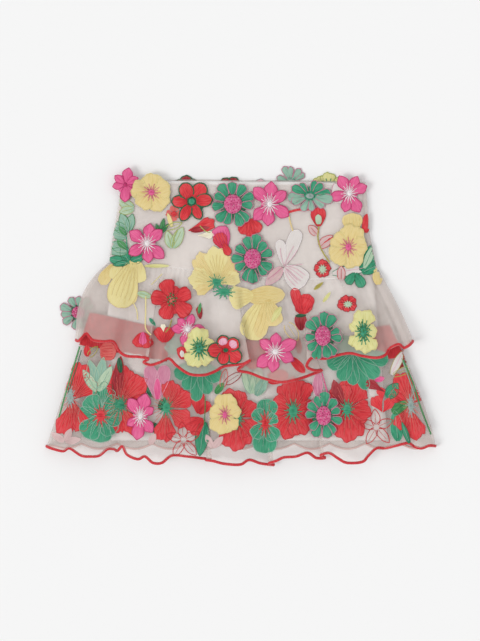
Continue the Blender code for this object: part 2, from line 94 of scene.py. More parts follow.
# The lining is two plain white woven panels sewn in at the waist. They hang straight, stop above
# the lower hem, and give the sheer cloth over them its white ground.
Level = namedtuple("Level", "y z")
Edge = namedtuple("Edge", "x y")
Sides = namedtuple("Sides", "y left right")
WAIST_FRONT = [Edge(-135, 151), Edge(-60, 148), Edge(0, 146), Edge(60, 147), Edge(140, 149)]
WAIST_BACK = [Edge(-135, 151), Edge(-60, 153), Edge(0, 152), Edge(60, 152), Edge(140, 150)]
LINING_SIDES = [Sides(151, -129, 134), Sides(92, -137, 138), Sides(44, -144, 148), Sides(-139, -166, 164)]
LINING_BACK_LEVELS = [
    Level(152, 2.8), Level(108, 2.8), Level(95, 1.3), Level(42, 1.3), Level(6, 5.2), Level(-140, 5.2)]
LINING_THICK = 0.4
LINING_FACE = 0.95      # its visible face over the underside of its solid
LINING_DROP = 1.6       # how far it starts below the waist edge
LINING_HEM = -139
HEM_FOLD = 9            # the lining's hem is turned up this far and stitched
HEM_FOLD_RISE = 0.08
PANEL_WIDE = 400        # about what a panel measures across, for the scale of its weave
MILLIMETRE_BANDS = 0.314        # the wave texture's scale at which its bands lie 1 mm apart


def between(start, end, share):
    return start + share * (end - start)


def along(rows, key, value, column):
    """Value of a column where the key column has this value, joined by straight lines."""
    ordered = sorted(rows, key=lambda row: getattr(row, key))
    value = min(max(value, getattr(ordered[0], key)), getattr(ordered[-1], key))
    for low, high in zip(ordered, ordered[1:]):
        start, end = getattr(low, key), getattr(high, key)
        if value <= end:
            return between(getattr(low, column), getattr(high, column), (value - start) / (end - start))
    return getattr(ordered[-1], column)


def edge_y(edge, x):
    """Height up the skirt of a seam or waist edge, as a smooth curve through its rows."""
    return sum(along(edge, "x", x + step * 12, "y") for step in (-1, -0.5, 0, 0.5, 1)) / 5


def dyed(red, green, blue):
    """A cloth or thread colour as seen, 0 to 255, turned into the shader's own scale."""
    seen = (part / 255 for part in (red, green, blue))
    return (*(part / 12.92 if part < 0.04 else ((part + 0.055) / 1.055) ** 2.4 for part in seen), 1)


def feed(tree, node, inputs):
    """Sets a shader node's inputs, each to a value or to the output of another node."""
    for name, value in inputs.items():
        if isinstance(value, bpy.types.NodeSocket):
            tree.links.new(value, node.inputs[name])
        else:
            node.inputs[name].default_value = value


def new_node(tree, kind, inputs, **settings):
    node = tree.nodes.new(kind)
    for name, value in settings.items():
        setattr(node, name, value)
    feed(tree, node, inputs)
    return node


def new_finish(name):
    """A material, its shader tree, and the grain that its cloth or thread carries at each point."""
    finish = bpy.data.materials.new(name)
    finish.use_nodes = True
    grain = new_node(finish.node_tree, "ShaderNodeAttribute", {}, attribute_name="grain")
    return finish, finish.node_tree, grain.outputs["Vector"]


def raised_threads(tree, grain, direction, pitch, wander):
    """Height of threads laid side by side, this far apart in millimetres."""
    inputs = {"Vector": grain, "Scale": MILLIMETRE_BANDS / pitch, "Distortion": wander}
    return new_node(tree, "ShaderNodeTexWave", inputs, bands_direction=direction).outputs["Fac"]


def woven(name, colour, painted_shade, pitch, rough, opaque=1.0, sheen=0.15):
    """Plain woven or net cloth: crossed threads as fine relief, and a darker colour painted in as shade where
    its creases and folds lie.
    The grain of a point is its place across and down the cloth in millimetres, then how much
    painted shade it takes."""
    finish, tree, grain = new_finish(name)
    slub = new_node(tree, "ShaderNodeTexNoise", {"Vector": grain, "Scale": 0.09, "Detail": 4.0})
    painted_shade_amount = new_node(tree, "ShaderNodeSeparateXYZ", {0: grain}).outputs["Z"]
    # random slub tone plus the painted shade amount, which mixes the cloth's colour towards its painted shade
    # colour
    tone = new_node(
        tree, "ShaderNodeMath", {0: slub.outputs["Fac"], 1: 0.35, 2: painted_shade_amount}, operation="MULTIPLY_ADD")
    mixed = new_node(
        tree, "ShaderNodeMix", {"Factor": tone.outputs[0], 6: colour, 7: painted_shade}, data_type="RGBA")
    warp, weft = (raised_threads(tree, grain, direction, pitch, 0.4) for direction in ("X", "Y"))
    crossed = new_node(tree, "ShaderNodeMath", {0: warp, 1: weft}, operation="ADD")
    relief = new_node(
        tree, "ShaderNodeBump", {"Strength": 0.25, "Distance": 0.0002, "Height": crossed.outputs[0]})
    feed(tree, tree.nodes["Principled BSDF"], {
        "Base Color": mixed.outputs[2], "Normal": relief.outputs["Normal"], "Alpha": opaque,
        "Roughness": rough, "Sheen Weight": sheen, "Specular IOR Level": 0.25})
    return finish


def make_piece(name, points, faces, grain, finishes, which=None):
    """A piece from points in millimetres, riding on the skirt; which gives each face's finish."""
    mesh = bpy.data.meshes.new(name)
    mesh.from_pydata([(x * MM, y * MM, z * MM) for x, y, z in points], [], faces)
    threads = mesh.attributes.new("grain", "FLOAT_VECTOR", "POINT")
    threads.data.foreach_set("vector", [part for place in grain for part in place])
    for finish in finishes:
        mesh.materials.append(finish)
    if which:
        mesh.polygons.foreach_set("material_index", which)
    mesh.shade_smooth()
    piece = bpy.data.objects.new(name, mesh)
    bpy.context.scene.collection.objects.link(piece)
    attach(piece, "root")
    return piece


def cloth_rows(high, wide, spot):
    """Rows of points down a panel, and how much painted shade each one takes. The spot function gives
    both, from the share of the way down and the number of the column."""
    rows, painted_shades = [], []
    for step in range(high):
        row = [spot(step / (high - 1), column) for column in range(wide)]
        rows.append([point for point, painted_shade in row])
        painted_shades.append([min(1, max(0, painted_shade)) for point, painted_shade in row])
    return rows, painted_shades


def make_sheet(name, rows, painted_shades, finish):
    """A sheet of cloth from rows of points, with the painted shade of each one carried in its grain."""
    points, grain, faces = [], [], []
    wide = len(rows[0])
    for row, painted_shade_row in zip(rows, painted_shades):
        points += row
        for column, ((x, y, z), painted_shade) in enumerate(zip(row, painted_shade_row)):
            grain.append((column * PANEL_WIDE / wide, y, painted_shade))
    for row in range(len(rows) - 1):
        for corner in range(row * wide, (row + 1) * wide - 1):
            faces.append((corner, corner + wide, corner + wide + 1, corner + 1))
    return make_piece(name, points, faces, grain, [finish])


def thicken(piece, thick):
    """Gives a piece its thickness, under its visible face."""
    body = piece.modifiers.new("thickness", "SOLIDIFY")
    body.thickness = thick * MM
    body.offset = -1


# The second colour is painted shade, mixed in where the lining's creases lie.
lining_weave = woven("white_lining_weave", dyed(246, 243, 240), dyed(214, 208, 205), 0.5, rough=0.85)


def lining_rows(waist, raised, crumple):
    """Rows down a lining panel; crumple is the height of its long soft creases."""
    columns = 57

    def spot(drop, column):
        share = column / (columns - 1)
        top = edge_y(waist, between(LINING_SIDES[0].left, LINING_SIDES[0].right, share)) - LINING_DROP
        y = between(top, LINING_HEM, drop)
        left, right = (along(LINING_SIDES, "y", y, side) for side in ("left", "right"))
        crease = math.sin(19 * share + 2.1 * math.sin(3 * drop)) * math.sin(2.6 * drop + 4 * share)
        crease += 0.5 * math.sin(41 * share - 7 * drop)
        z = along(LINING_BACK_LEVELS, "y", y, "z") + raised + LINING_FACE + crumple * (crease - 1.5)
        if y < LINING_HEM + HEM_FOLD:
            z += HEM_FOLD_RISE
        # the second value is painted shade, deeper in the troughs of the creases
        return (between(left, right, share), y, z), 0.12 - 0.12 * crease
    return cloth_rows(high=61, wide=columns, spot=spot)


for name, waist, raised, crumple in (
        ("lining_back", WAIST_BACK, 0.0, 0.10), ("lining_front", WAIST_FRONT, 1.3, 0.14)):
    panel = make_sheet(name + "_cloth", *lining_rows(waist, raised, crumple), lining_weave)
    thicken(panel, LINING_THICK)
    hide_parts(name)


# The yoke is two straight panels of sheer organza from the waist to the first tier's seam. The
# back one comes up behind the front one and lies on the table.
YOKE_SIDES = [Sides(151, -134.5, 139.5), Sides(125, -137, 141.5), Sides(92, -143, 144), Sides(44, -150, 154)]
YOKE_SEAM_FRONT = [Edge(-149, 60), Edge(-80, 55), Edge(0, 44), Edge(60, 41), Edge(116, 42), Edge(154, 52)]
YOKE_SEAM_BACK = [Edge(-149, 60), Edge(0, 50), Edge(154, 52)]
YOKE_BACK_LEVELS = [Level(152, 1.5), Level(108, 1.5), Level(95, 0), Level(40, 0)]
YOKE_FRONT_LEVELS = [Level(152, 5.4), Level(108, 5.4), Level(95, 3.9), Level(40, 3.9)]
YOKE_SHOULDER = 3.0
SIDE_SEAM = 2.6
SEAM_GAP = 0.3          # from the side seam up to the front's cloth, and down to the back yoke's
SEAM_STEP = 0.3         # the cloth above and below a seam starts this far from its line

# The second colour is painted shade, mixed in where the organza's creases lie.
organza = woven(
    "sheer_organza", dyed(234, 223, 216), dyed(186, 171, 165), 0.7, rough=0.55, opaque=0.42, sheen=0.25)


def rounded(distance, shoulder):
    """Share of full height at this distance in from a side seam."""
    inward = min(max(distance / shoulder, 0), 1)
    return math.sqrt(1 - (1 - inward) ** 2)


def yoke_rows(waist, seam, levels, face, seam_z):
    """Rows down a yoke panel. The columns stand closer towards the side seams, where it curves most."""
    columns = 111

    def spot(drop, column):
        share = 0.5 - 0.5 * math.cos(math.pi * column / (columns - 1))
        top = edge_y(waist, between(YOKE_SIDES[0].left, YOKE_SIDES[0].right, share))
        low = edge_y(seam, between(seam[0].x, seam[-1].x, share)) + SEAM_STEP
        y = between(top, low, drop)
        left, right = (along(YOKE_SIDES, "y", y, side) for side in ("left", "right"))
        x = between(left, right, share)
        crease = math.sin(23 * share + 5 * drop) * math.sin(3.1 * drop + 9 * share)
        crease += 0.6 * math.sin(150 * share + 3 * math.sin(8 * share)) * drop ** 3
        flat_z = along(levels, "y", y, "z") + face + 0.12 * crease
        shape = rounded(min(x - left, right - x), YOKE_SHOULDER)
        # the second value is painted shade, deeper in the troughs of the creases
        return (x, y, between(seam_z, flat_z, shape)), 0.18 - 0.16 * crease
    return cloth_rows(high=41, wide=columns, spot=spot)


yoke_back = make_sheet("yoke_back_organza", *yoke_rows(
    WAIST_BACK, YOKE_SEAM_BACK, YOKE_BACK_LEVELS, 0.25, SIDE_SEAM - SEAM_GAP), organza)
yoke_front = make_sheet("yoke_front_organza", *yoke_rows(
    WAIST_FRONT, YOKE_SEAM_FRONT, YOKE_FRONT_LEVELS, 0.75, SIDE_SEAM + SEAM_GAP), organza)
for panel, node, below in ((yoke_back, "yoke_back", ()), (yoke_front, "yoke_front", ("lining_front_cloth",))):
    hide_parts(node)


# Each tier is a wide strip of sheer tulle gathered into its seam. Below it opens into deep waves,
# some of which lie over in folds, and its hem is cut in scallops under a red satin-stitched cord.
Wave = namedtuple("Wave", "x y rise")
Rise = namedtuple("Rise", "drop under crest")
UPPER_HEM = [
    Wave(-185, -28, 0.35), Wave(-180, -29, 0.60), Wave(-172, -21, 0.25), Wave(-165, -28, 0.60),
    Wave(-153, -30, 0.85), Wave(-142, -30, 0.75), Wave(-136, -40, 0.30), Wave(-127, -46, 0.65),
    Wave(-113, -47, 0.85), Wave(-103, -49, 0.80), Wave(-108, -53, 0.40), Wave(-100, -56, 0.30),
    Wave(-90, -53, 0.60), Wave(-80, -49, 0.15), Wave(-71, -57, 0.55), Wave(-57, -66, 0.95),
    Wave(-41, -67, 1.00), Wave(-29, -63, 0.70), Wave(-20, -58, 0.55), Wave(-8, -56, 0.75),
    Wave(2, -55, 0.95), Wave(10, -51, 0.90), Wave(3, -56, 0.50), Wave(-3, -62, 0.10),
    Wave(10, -65, 0.20), Wave(26, -71, 0.60), Wave(44, -75, 0.95), Wave(58, -73, 0.90),
    Wave(69, -70, 0.45), Wave(80, -66, 0.12), Wave(90, -62, 0.05), Wave(81, -62, 0.50),
    Wave(73, -57, 0.80), Wave(79, -48, 0.95), Wave(92, -49, 0.85), Wave(108, -45, 0.55),
    Wave(122, -43, 0.45), Wave(135, -46, 0.75), Wave(150, -48, 0.90), Wave(160, -45, 0.60),
    Wave(165, -38, 0.20), Wave(175, -33, 0.70), Wave(181, -37, 0.35), Wave(187, -34, 0.55),
    Wave(192.5, -29, 0.30),
]
LOWER_HEM = [
    Wave(-218, -147, 0.30), Wave(-208, -150, 0.60), Wave(-198, -152, 0.80), Wave(-191, -149, 0.60),
    Wave(-178, -157, 0.80), Wave(-168, -158, 0.95), Wave(-158, -157, 0.90), Wave(-149, -150, 0.60),
    Wave(-142, -150, 0.25), Wave(-138, -152, 0.05), Wave(-132, -147, 0.30), Wave(-127, -156, 0.60),
    Wave(-115, -161, 0.85), Wave(-107, -158, 0.80), Wave(-98, -165, 0.95), Wave(-88, -165, 0.90),
    Wave(-77, -157, 0.65), Wave(-60, -158, 0.75), Wave(-46, -160, 0.35), Wave(-33, -162, 0.05),
    Wave(-39, -162, 0.60), Wave(-31, -163, 0.88), Wave(-19, -166, 0.95), Wave(-1, -167, 0.90),
    Wave(9, -162, 0.60), Wave(22, -166, 0.35), Wave(37, -168, 0.05), Wave(31, -166, 0.58),
    Wave(39, -163, 0.85), Wave(48, -159, 0.90), Wave(61, -158, 0.85), Wave(74, -154, 0.60),
    Wave(84, -160, 0.25), Wave(94, -160, 0.05), Wave(89, -157, 0.50), Wave(98, -154, 0.80),
    Wave(108, -160, 0.90), Wave(118, -165, 1.00), Wave(135, -164, 0.90), Wave(142, -157, 0.65),
    Wave(151, -149, 0.35), Wave(161, -149, 0.05), Wave(173, -146, 0.60), Wave(186, -143, 0.80),
    Wave(193, -147, 0.35), Wave(201, -149, 0.60), Wave(210, -146, 0.50), Wave(218, -147, 0.30),
]
UPPER_RISE = [
    Rise(0, 3.9, 0.5), Rise(0.08, 6.2, 1.8), Rise(0.22, 8.6, 3.6), Rise(0.42, 10.6, 5.6),
    Rise(0.64, 12.4, 7.6), Rise(0.84, 14.4, 9.4), Rise(1, 15.2, 11.0),
]
LOWER_RISE = [
    Rise(0, 8.0, 0.4), Rise(0.08, 8.0, 1.8), Rise(0.24, 8.0, 4.2), Rise(0.42, 8.0, 6.2),
    Rise(0.62, 8.0, 7.6), Rise(0.82, 8.0, 8.8), Rise(1, 8.0, 10.4),
]
WAVE_HIGH = 11
TIER_SEAM_FRONT = [Edge(-169, 5), Edge(-96, -12), Edge(0, -27), Edge(116, -18), Edge(166, -9)]
LOWER_SIDE_LEVELS = [Level(5, 6.4), Level(-60, 6.4), Level(-92, 2.6), Level(-170, 2.6)]
UPPER_SIDE_LEVELS = [Level(152, 2.6), Level(-45, 2.6)]
HEM_SETTLE = [Level(-144, 0), Level(-158, 2.2)]
LOWER_BULGE, UPPER_BULGE = (1.0, 1.3), (3.0, 1.2)       # how full each side swells out, left and right
TIER_SHOULDER = 8.0
TIER_ROWS, COLUMNS_A_WAVE = 43, 7
TIER_FACE = 0.5         # the tulle lies in the middle of its solid's wall
CREASE_HIGH = 0.42
SIDE_SWELL = 0.12       # share of the width that swells out at each side
CORD_WIDE, CORD_HIGH = 3.3, 1.8
CORD_INSET, CORD_SINK = 1.6, 0.45       # its middle, from the hem's edge inwards and from its face down

# The second colour of each tulle is painted shade, for its creases and the troughs of its waves.
tulle = {
    tier: woven(
        tier + "_tulle_net", dyed(235, 224, 217), dyed(182, 166, 159), 0.9, rough=0.6, opaque=opaque,
        sheen=0.2)
    for tier, opaque in (("upper", 0.37), ("lower", 0.28), ("back", 0.46))}


def spline(rows, place, column):
    """Smooth curve through a column of the rows; place counts rows from 0."""
    first = min(int(place), len(rows) - 2)
    share = place - first
    p0, p1, p2, p3 = (
        getattr(rows[min(max(first + step, 0), len(rows) - 1)], column) for step in (-1, 0, 1, 2))
    return 0.5 * (
        2 * p1 + (p2 - p0) * share + (2 * p0 - 5 * p1 + 4 * p2 - p3) * share ** 2
        + (3 * p1 - p0 - 3 * p2 + p3) * share ** 3)


def gathers(share, drop, phase):
    """Small uneven creases: tight beside the seam, long and slanting further down, -1 to 1."""
    tight = math.sin(260 * share + 6 * math.sin(17 * share + phase)) * math.exp(-4.5 * drop)
    slanting = math.sin(74 * share + 5 * drop + 4 * math.sin(11 * share + phase))
    slanting *= math.sin(math.pi * drop) ** 0.8
    long = math.sin(33 * share - 3 * drop + 2 * phase) * math.sin(2 * share + 5 * drop + phase)
    return 0.55 * tight + 0.3 * slanting + 0.3 * long


def tier_x(seam_x, hem_x, share, drop, bulge):
    """How far across the skirt a tier's cloth lies. Near its sides it swells outwards on the way down."""
    side = max(0, 1 - min(share, 1 - share) / SIDE_SWELL)
    return between(seam_x, hem_x, 1 - (1 - drop) ** (1 + (bulge - 1) * side))


def tier_rows(hem, seam, rises, side_levels, bulge, phase):
    """Rows down a front tier's outer face, and the painted shade of each point: deeper in its creases, and in
    the troughs of its waves towards the hem.
    """
    places = [step / COLUMNS_A_WAVE for step in range((len(hem) - 1) * COLUMNS_A_WAVE + 1)]
    hem_spots = [[spline(hem, place, column) for column in ("x", "y", "rise")] for place in places]
    walked = [0]
    for here, there in zip(hem_spots, hem_spots[1:]):
        walked.append(walked[-1] + math.dist(
            (here[0], here[1], WAVE_HIGH * here[2]), (there[0], there[1], WAVE_HIGH * there[2])))
    rows, painted_shades = [], []
    for step in range(TIER_ROWS):
        drop = step / (TIER_ROWS - 1)
        under, crest = along(rises, "drop", drop, "under"), along(rises, "drop", drop, "crest")
        row, painted_shade_row = [], []
        for (hem_x, hem_y, rise), distance in zip(hem_spots, walked):
            share = distance / walked[-1]
            seam_x = between(seam[0].x, seam[-1].x, share)
            x = tier_x(seam_x, hem_x, share, drop, between(*bulge, share))
            y = (1 - drop) * (edge_y(seam, seam_x) - SEAM_STEP) + drop * hem_y
            rise = min(max(rise, 0.02), 1.05)
            crease = gathers(share, drop, phase)
            z = under + TIER_FACE + crest * rise - along(HEM_SETTLE, "y", y, "z") + CREASE_HIGH * crease
            row.append([x, y, z])
            # painted shade: deeper in the creases and, further down, in the troughs of the waves
            painted_shade_row.append(min(1, max(0, 0.10 - 0.38 * crease + 0.50 * (0.5 - rise) * drop)))
        left, right = row[0][0], row[-1][0]
        for point in row:
            seam_z = along(side_levels, "y", point[1], "z") + SEAM_GAP
            from_side = min(point[0] - left, right - point[0])
            point[2] = between(seam_z, point[2], rounded(from_side, TIER_SHOULDER))
        rows.append(row)
        painted_shades.append(painted_shade_row)
    return rows, painted_shades


def satin_thread(name, light, dark, streak, pitch=0.5, root=0.25):
    """Satin stitch: fine threads side by side, lighter and darker by the strand, the lightest strands
    whitened as a painted highlight, and deeper in tone at the root. The grain of a point is its place
    along the thread and across it in millimetres, then its share of the way out."""
    finish, tree, grain = new_finish(name)
    stretched = new_node(tree, "ShaderNodeVectorMath", {0: grain, 1: (0.13, 1.3, 0.6)}, operation="MULTIPLY")
    strands = new_node(
        tree, "ShaderNodeTexNoise", {"Vector": stretched.outputs[0], "Scale": 1.0, "Detail": 3.0})
    outward = new_node(tree, "ShaderNodeSeparateXYZ", {0: grain}).outputs["Z"]
    tone = new_node(
        tree, "ShaderNodeMath", {0: outward, 1: root, 2: strands.outputs["Fac"]}, operation="MULTIPLY_ADD")
    tones = new_node(tree, "ShaderNodeValToRGB", {"Fac": tone.outputs[0]})
    middle = 0.5 + root / 2
    deep, painted_highlight = tones.color_ramp.elements
    deep.position, deep.color = middle - 0.24 / streak, dark
    # the top stop whitens the light colour: a painted highlight on the lightest strands
    painted_highlight.position, painted_highlight.color = middle + 0.30 / streak, (*(0.9 * part + 0.08 for part in light[:3]), 1)
    tones.color_ramp.elements.new(middle + 0.02).color = light
    ribs = raised_threads(tree, grain, "Y", pitch, 1.2)
    relief = new_node(tree, "ShaderNodeBump", {"Strength": 0.45, "Distance": 0.0003, "Height": ribs})
    feed(tree, tree.nodes["Principled BSDF"], {
        "Base Color": tones.outputs["Color"], "Normal": relief.outputs["Normal"], "Roughness": 0.5,
        "Sheen Weight": 0.06, "Specular IOR Level": 0.3})
    return finish


cord_thread = satin_thread(
    "red_cord_thread", dyed(204, 44, 52), dyed(152, 22, 34), streak=0.6, pitch=0.7, root=0.0)


def make_cord(name, path, wide, high, finish):
    """The satin-stitched cord along a hem: an oval roll with its stitches straight across it."""
    sides = 8
    points, grain, walked = [], [], 0
    for step, place in enumerate(path):
        here, before = Vector(place), Vector(path[max(step - 1, 0)])
        ahead = (Vector(path[min(step + 1, len(path) - 1)]) - before).normalized()
        aside = ahead.cross(Vector((0, 0, 1))).normalized()
        up = aside.cross(ahead)
        walked += (here - before).length
        for side in range(sides):
            turn = 2 * math.pi * side / sides
            points.append(here + aside * (wide / 2 * math.cos(turn)) + up * (high / 2 * math.sin(turn)))
            grain.append((side * 1.2, walked, 0.5))
    faces = []
    for first in range(0, len(points) - sides, sides):
        for side in range(sides):
            after = first + (side + 1) % sides
            faces.append((first + side, after, after + sides, first + side + sides))
    faces.append(tuple(range(sides))[::-1])
    faces.append(tuple(range(len(points) - sides, len(points))))
    cord = make_piece(name, points, faces, grain, [finish])
    return cord


fronts, front_rows = {}, {}
for tier, hem, seam, rises, side_levels, bulge, phase, width in (
        ("lower_tier_front", LOWER_HEM, TIER_SEAM_FRONT, LOWER_RISE, LOWER_SIDE_LEVELS, LOWER_BULGE, 0.7,
         0.540),
        ("upper_tier_front", UPPER_HEM, YOKE_SEAM_FRONT, UPPER_RISE, UPPER_SIDE_LEVELS, UPPER_BULGE, 2.3,
         0.460)):
    front_rows[tier], painted_shades = tier_rows(hem, seam, rises, side_levels, bulge, phase)
    fronts[tier] = make_sheet(tier + "_tulle", front_rows[tier], painted_shades, tulle[tier[:5]])
    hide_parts(tier)
    cord_path = [(x, y + CORD_INSET, z - CORD_SINK) for x, y, z in front_rows[tier][-1]]
    cord = make_cord(tier + "_hem_cord", cord_path, CORD_WIDE, CORD_HIGH, cord_thread)


# The back tiers are cut like the front ones. The skirt's weight presses them flat on the table,
# with a few low folds, and their corded hems show a little past the front ones.
Pleat = namedtuple("Pleat", "x half_width height")
TIER_SEAM_BACK = [Edge(-169, 5), Edge(0, -14), Edge(166, -9)]
TIER_BACK_LEVELS = [Level(5, 3.9), Level(-76, 3.9), Level(-96, 0), Level(-170, 0)]
ON_TABLE = [Level(152, 0), Level(-170, 0)]
UPPER_BACK_PLEATS = [
    Pleat(-140, 7, 2.2), Pleat(-104, 9, 2.5), Pleat(-62, 7, 1.9), Pleat(-20, 10, 2.5), Pleat(24, 8, 2.1),
    Pleat(66, 10, 2.5), Pleat(106, 7, 1.8), Pleat(146, 8, 2.4)]
LOWER_BACK_PLEATS = [
    Pleat(-176, 9, 2.6), Pleat(-134, 8, 2.1), Pleat(-92, 11, 2.8), Pleat(-48, 8, 2.2), Pleat(-6, 10, 2.7),
    Pleat(38, 8, 2.0), Pleat(82, 11, 2.8), Pleat(126, 9, 2.3), Pleat(172, 9, 2.6)]
BACK_SCALLOPS, SCALLOP_DEPTH = 11, 6
BACK_FOLD_TOP = 3.9
BACK_SHOULDER, BACK_SEAM_GAP = 5, 0.2
BACK_FACE, BACK_CREASE = 0.35, 0.2
BACK_CORNER = 0.06      # share of the width in which the hem runs down from the side to its scallops
BACK_CORD_WIDE, BACK_CORD_HIGH = 1.9, 0.9
BACK_CORD_INSET, BACK_CORD_LIFT = 1.4, 0.15
SIDE_FLOWER = Edge(-182, 4)
SIDE_FLOWER_REACH, SIDE_FLOWER_LIFT = 44, 1.9       # the back's cloth lies raised over this stiff flower


def smoothstep(value):
    value = min(max(value, 0), 1)
    return value * value * (3 - 2 * value)


def back_rows(hem, hem_y, seam, levels, side_levels, pleats, bulge, flower, phase):
    """Rows down a back tier's upper face. Its hem is scalloped evenly between the two sides."""
    columns = 232

    def spot(drop, column):
        share = column / (columns - 1)
        seam_x = between(seam[0].x, seam[-1].x, share)
        hem_x, side_y = between(hem[0].x, hem[-1].x, share), between(hem[0].y, hem[-1].y, share)
        x = tier_x(seam_x, hem_x, share, drop, bulge[0] if share < 0.5 else bulge[1])
        inset = smoothstep(min(share, 1 - share) / BACK_CORNER)
        scallop = SCALLOP_DEPTH * abs(math.sin(math.pi * BACK_SCALLOPS * share))
        low_y = (1 - inset) * side_y + inset * (hem_y - scallop + SCALLOP_DEPTH / 2)
        y = (1 - drop) * (edge_y(seam, seam_x) - SEAM_STEP) + drop * low_y
        fold = sum(p.height * math.exp(-((x - p.x) / p.half_width) ** 2) for p in pleats)
        fold *= smoothstep((drop - 0.1) / 0.5)
        crease = gathers(share, drop, phase)
        z = min(along(levels, "y", y, "z") + fold, BACK_FOLD_TOP) + BACK_FACE + BACK_CREASE * crease
        if flower:
            away = math.dist((x, y), flower) / SIDE_FLOWER_REACH
            z = max(z, SIDE_FLOWER_LIFT * smoothstep(3 * (1 - away)))
        seam_z = along(side_levels, "y", y, "z") - BACK_SEAM_GAP
        from_side = min(share, 1 - share) * (hem[-1].x - hem[0].x)
        # the second value is painted shade, deeper in the troughs of the creases
        return (x, y, between(seam_z, z, rounded(from_side, BACK_SHOULDER))), 0.16 - 0.3 * crease
    return cloth_rows(high=31, wide=columns, spot=spot)


faded_thread = satin_thread(
    "wrong_side_cord_thread", dyed(218, 176, 171), dyed(198, 146, 143), streak=0.6, pitch=0.7)
for tier, *form in (
        ("upper_tier_back", UPPER_HEM, -50, YOKE_SEAM_BACK, ON_TABLE, UPPER_SIDE_LEVELS, UPPER_BACK_PLEATS,
         UPPER_BULGE, SIDE_FLOWER, 1.1),
        ("lower_tier_back", LOWER_HEM, -147, TIER_SEAM_BACK, TIER_BACK_LEVELS, LOWER_SIDE_LEVELS,
         LOWER_BACK_PLEATS, LOWER_BULGE, None, 3.9)):
    rows, painted_shades = back_rows(*form)
    panel = make_sheet(tier + "_tulle", rows, painted_shades, tulle["back"])
    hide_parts(tier)
    cord_path = [(x, y + BACK_CORD_INSET, z + BACK_CORD_LIFT) for x, y, z in rows[-1]]
    cord = make_cord(tier + "_hem_cord", cord_path, BACK_CORD_WIDE, BACK_CORD_HIGH, faded_thread)


# The tulle is embroidered all over before it is cut: flat flowers, leaves, buds and stems in
# satin stitch, in rows of fine thread that stand a little off the net.
Thread = namedtuple("Thread", "light dark slot")
THREADS = {
    "red": Thread((216, 46, 54), (164, 22, 36), "thread_red"),
    "deep_red": Thread((198, 34, 44), (152, 18, 32), "thread_red"),
    "dark_red": Thread((160, 28, 40), (100, 14, 26), "thread_red"),
    "coral": Thread((218, 104, 96), (196, 66, 70), "thread_red"),
    "magenta": Thread((226, 94, 146), (196, 58, 112), "thread_magenta"),
    "pink": Thread((218, 98, 148), (192, 62, 118), "thread_magenta"),
    "deep_pink": Thread((202, 48, 116), (160, 26, 84), "thread_magenta"),
    "pale_pink": Thread((234, 178, 196), (206, 120, 156), "thread_magenta"),
    "dusty_pink": Thread((206, 132, 158), (178, 92, 128), "thread_magenta"),
    "yellow": Thread((226, 204, 140), (208, 180, 108), "thread_yellow"),
    "pale_yellow": Thread((230, 216, 152), (216, 196, 126), "thread_yellow"),
    "poppy_yellow": Thread((220, 216, 148), (194, 188, 108), "thread_yellow"),
    "olive": Thread((176, 164, 78), (132, 124, 54), "thread_yellow"),
    "lime": Thread((176, 186, 98), (134, 152, 70), "thread_green"),
    "green": Thread((54, 152, 114), (20, 104, 74), "thread_green"),
    "dark_green": Thread((34, 100, 66), (16, 58, 40), "thread_green"),
    "leaf_green": Thread((72, 146, 84), (34, 100, 56), "thread_green"),
    "mint": Thread((144, 182, 162), (98, 146, 126), "thread_mint"),
    "pale_green": Thread((184, 204, 176), (140, 180, 146), "thread_mint"),
    "grey_mint": Thread((150, 168, 162), (104, 126, 122), "thread_mint"),
    "white": Thread((242, 236, 236), (222, 196, 206), "lining"),
    "cream": Thread((238, 230, 206), (214, 200, 168), "lining"),
    "sheer": Thread((221, 214, 210), (210, 200, 195), "lining"),
    "sheer_pink": Thread((212, 182, 180), (194, 160, 159), "thread_magenta"),
}
finishes = {
    name: satin_thread(name + "_thread", dyed(*thread.light), dyed(*thread.dark), streak=0.95)
    for name, thread in THREADS.items()}
DOWN = Vector((0, 0, -1))
ABOVE = 0.1             # metres over the table, from where the cloth's height is measured


def tree_of(piece):
    mesh = piece.data
    return BVHTree.FromPolygons([v.co for v in mesh.vertices], [tuple(p.vertices) for p in mesh.polygons])


def level_on(*pieces):
    """A function that gives the height of the top of these pieces at a place, or None beside them."""
    trees = [tree_of(piece) for piece in pieces]

    def level(x, y):
        for aside in (0, 0.5, -0.5):
            hits = [tree.ray_cast(Vector((x * MM, (y + aside) * MM, ABOVE)), DOWN)[0] for tree in trees]
            found = [hit.z / MM for hit in hits if hit]
            if found:
                return max(found)
        return None
    return level


def stitch_net(work, thread, high, wide, level, spot):
    """Adds a net of points to the work in one thread. The spot function gives the place of each one,
    how far it stands off the cloth, and its grain. Faces that run off the cloth are left out."""
    net = []
    for i in range(high):
        row = []
        for j in range(wide):
            x, y, rise, mark = spot(i, j)
            z = level(x, y)
            row.append(None if z is None else ((x, y, z + rise), mark))
        net.append(row)
    points, faces, grain = work.setdefault(thread, ([], [], []))
    number = {}
    for i in range(high - 1):
        for j in range(wide - 1):
            corners = [(i, j), (i + 1, j), (i + 1, j + 1), (i, j + 1)]
            if any(net[a][b] is None for a, b in corners):
                continue
            for a, b in corners:
                if (a, b) not in number:
                    number[(a, b)] = len(points)
                    points.append(net[a][b][0])
                    grain.append(net[a][b][1])
            faces.append(tuple(number[corner] for corner in corners))


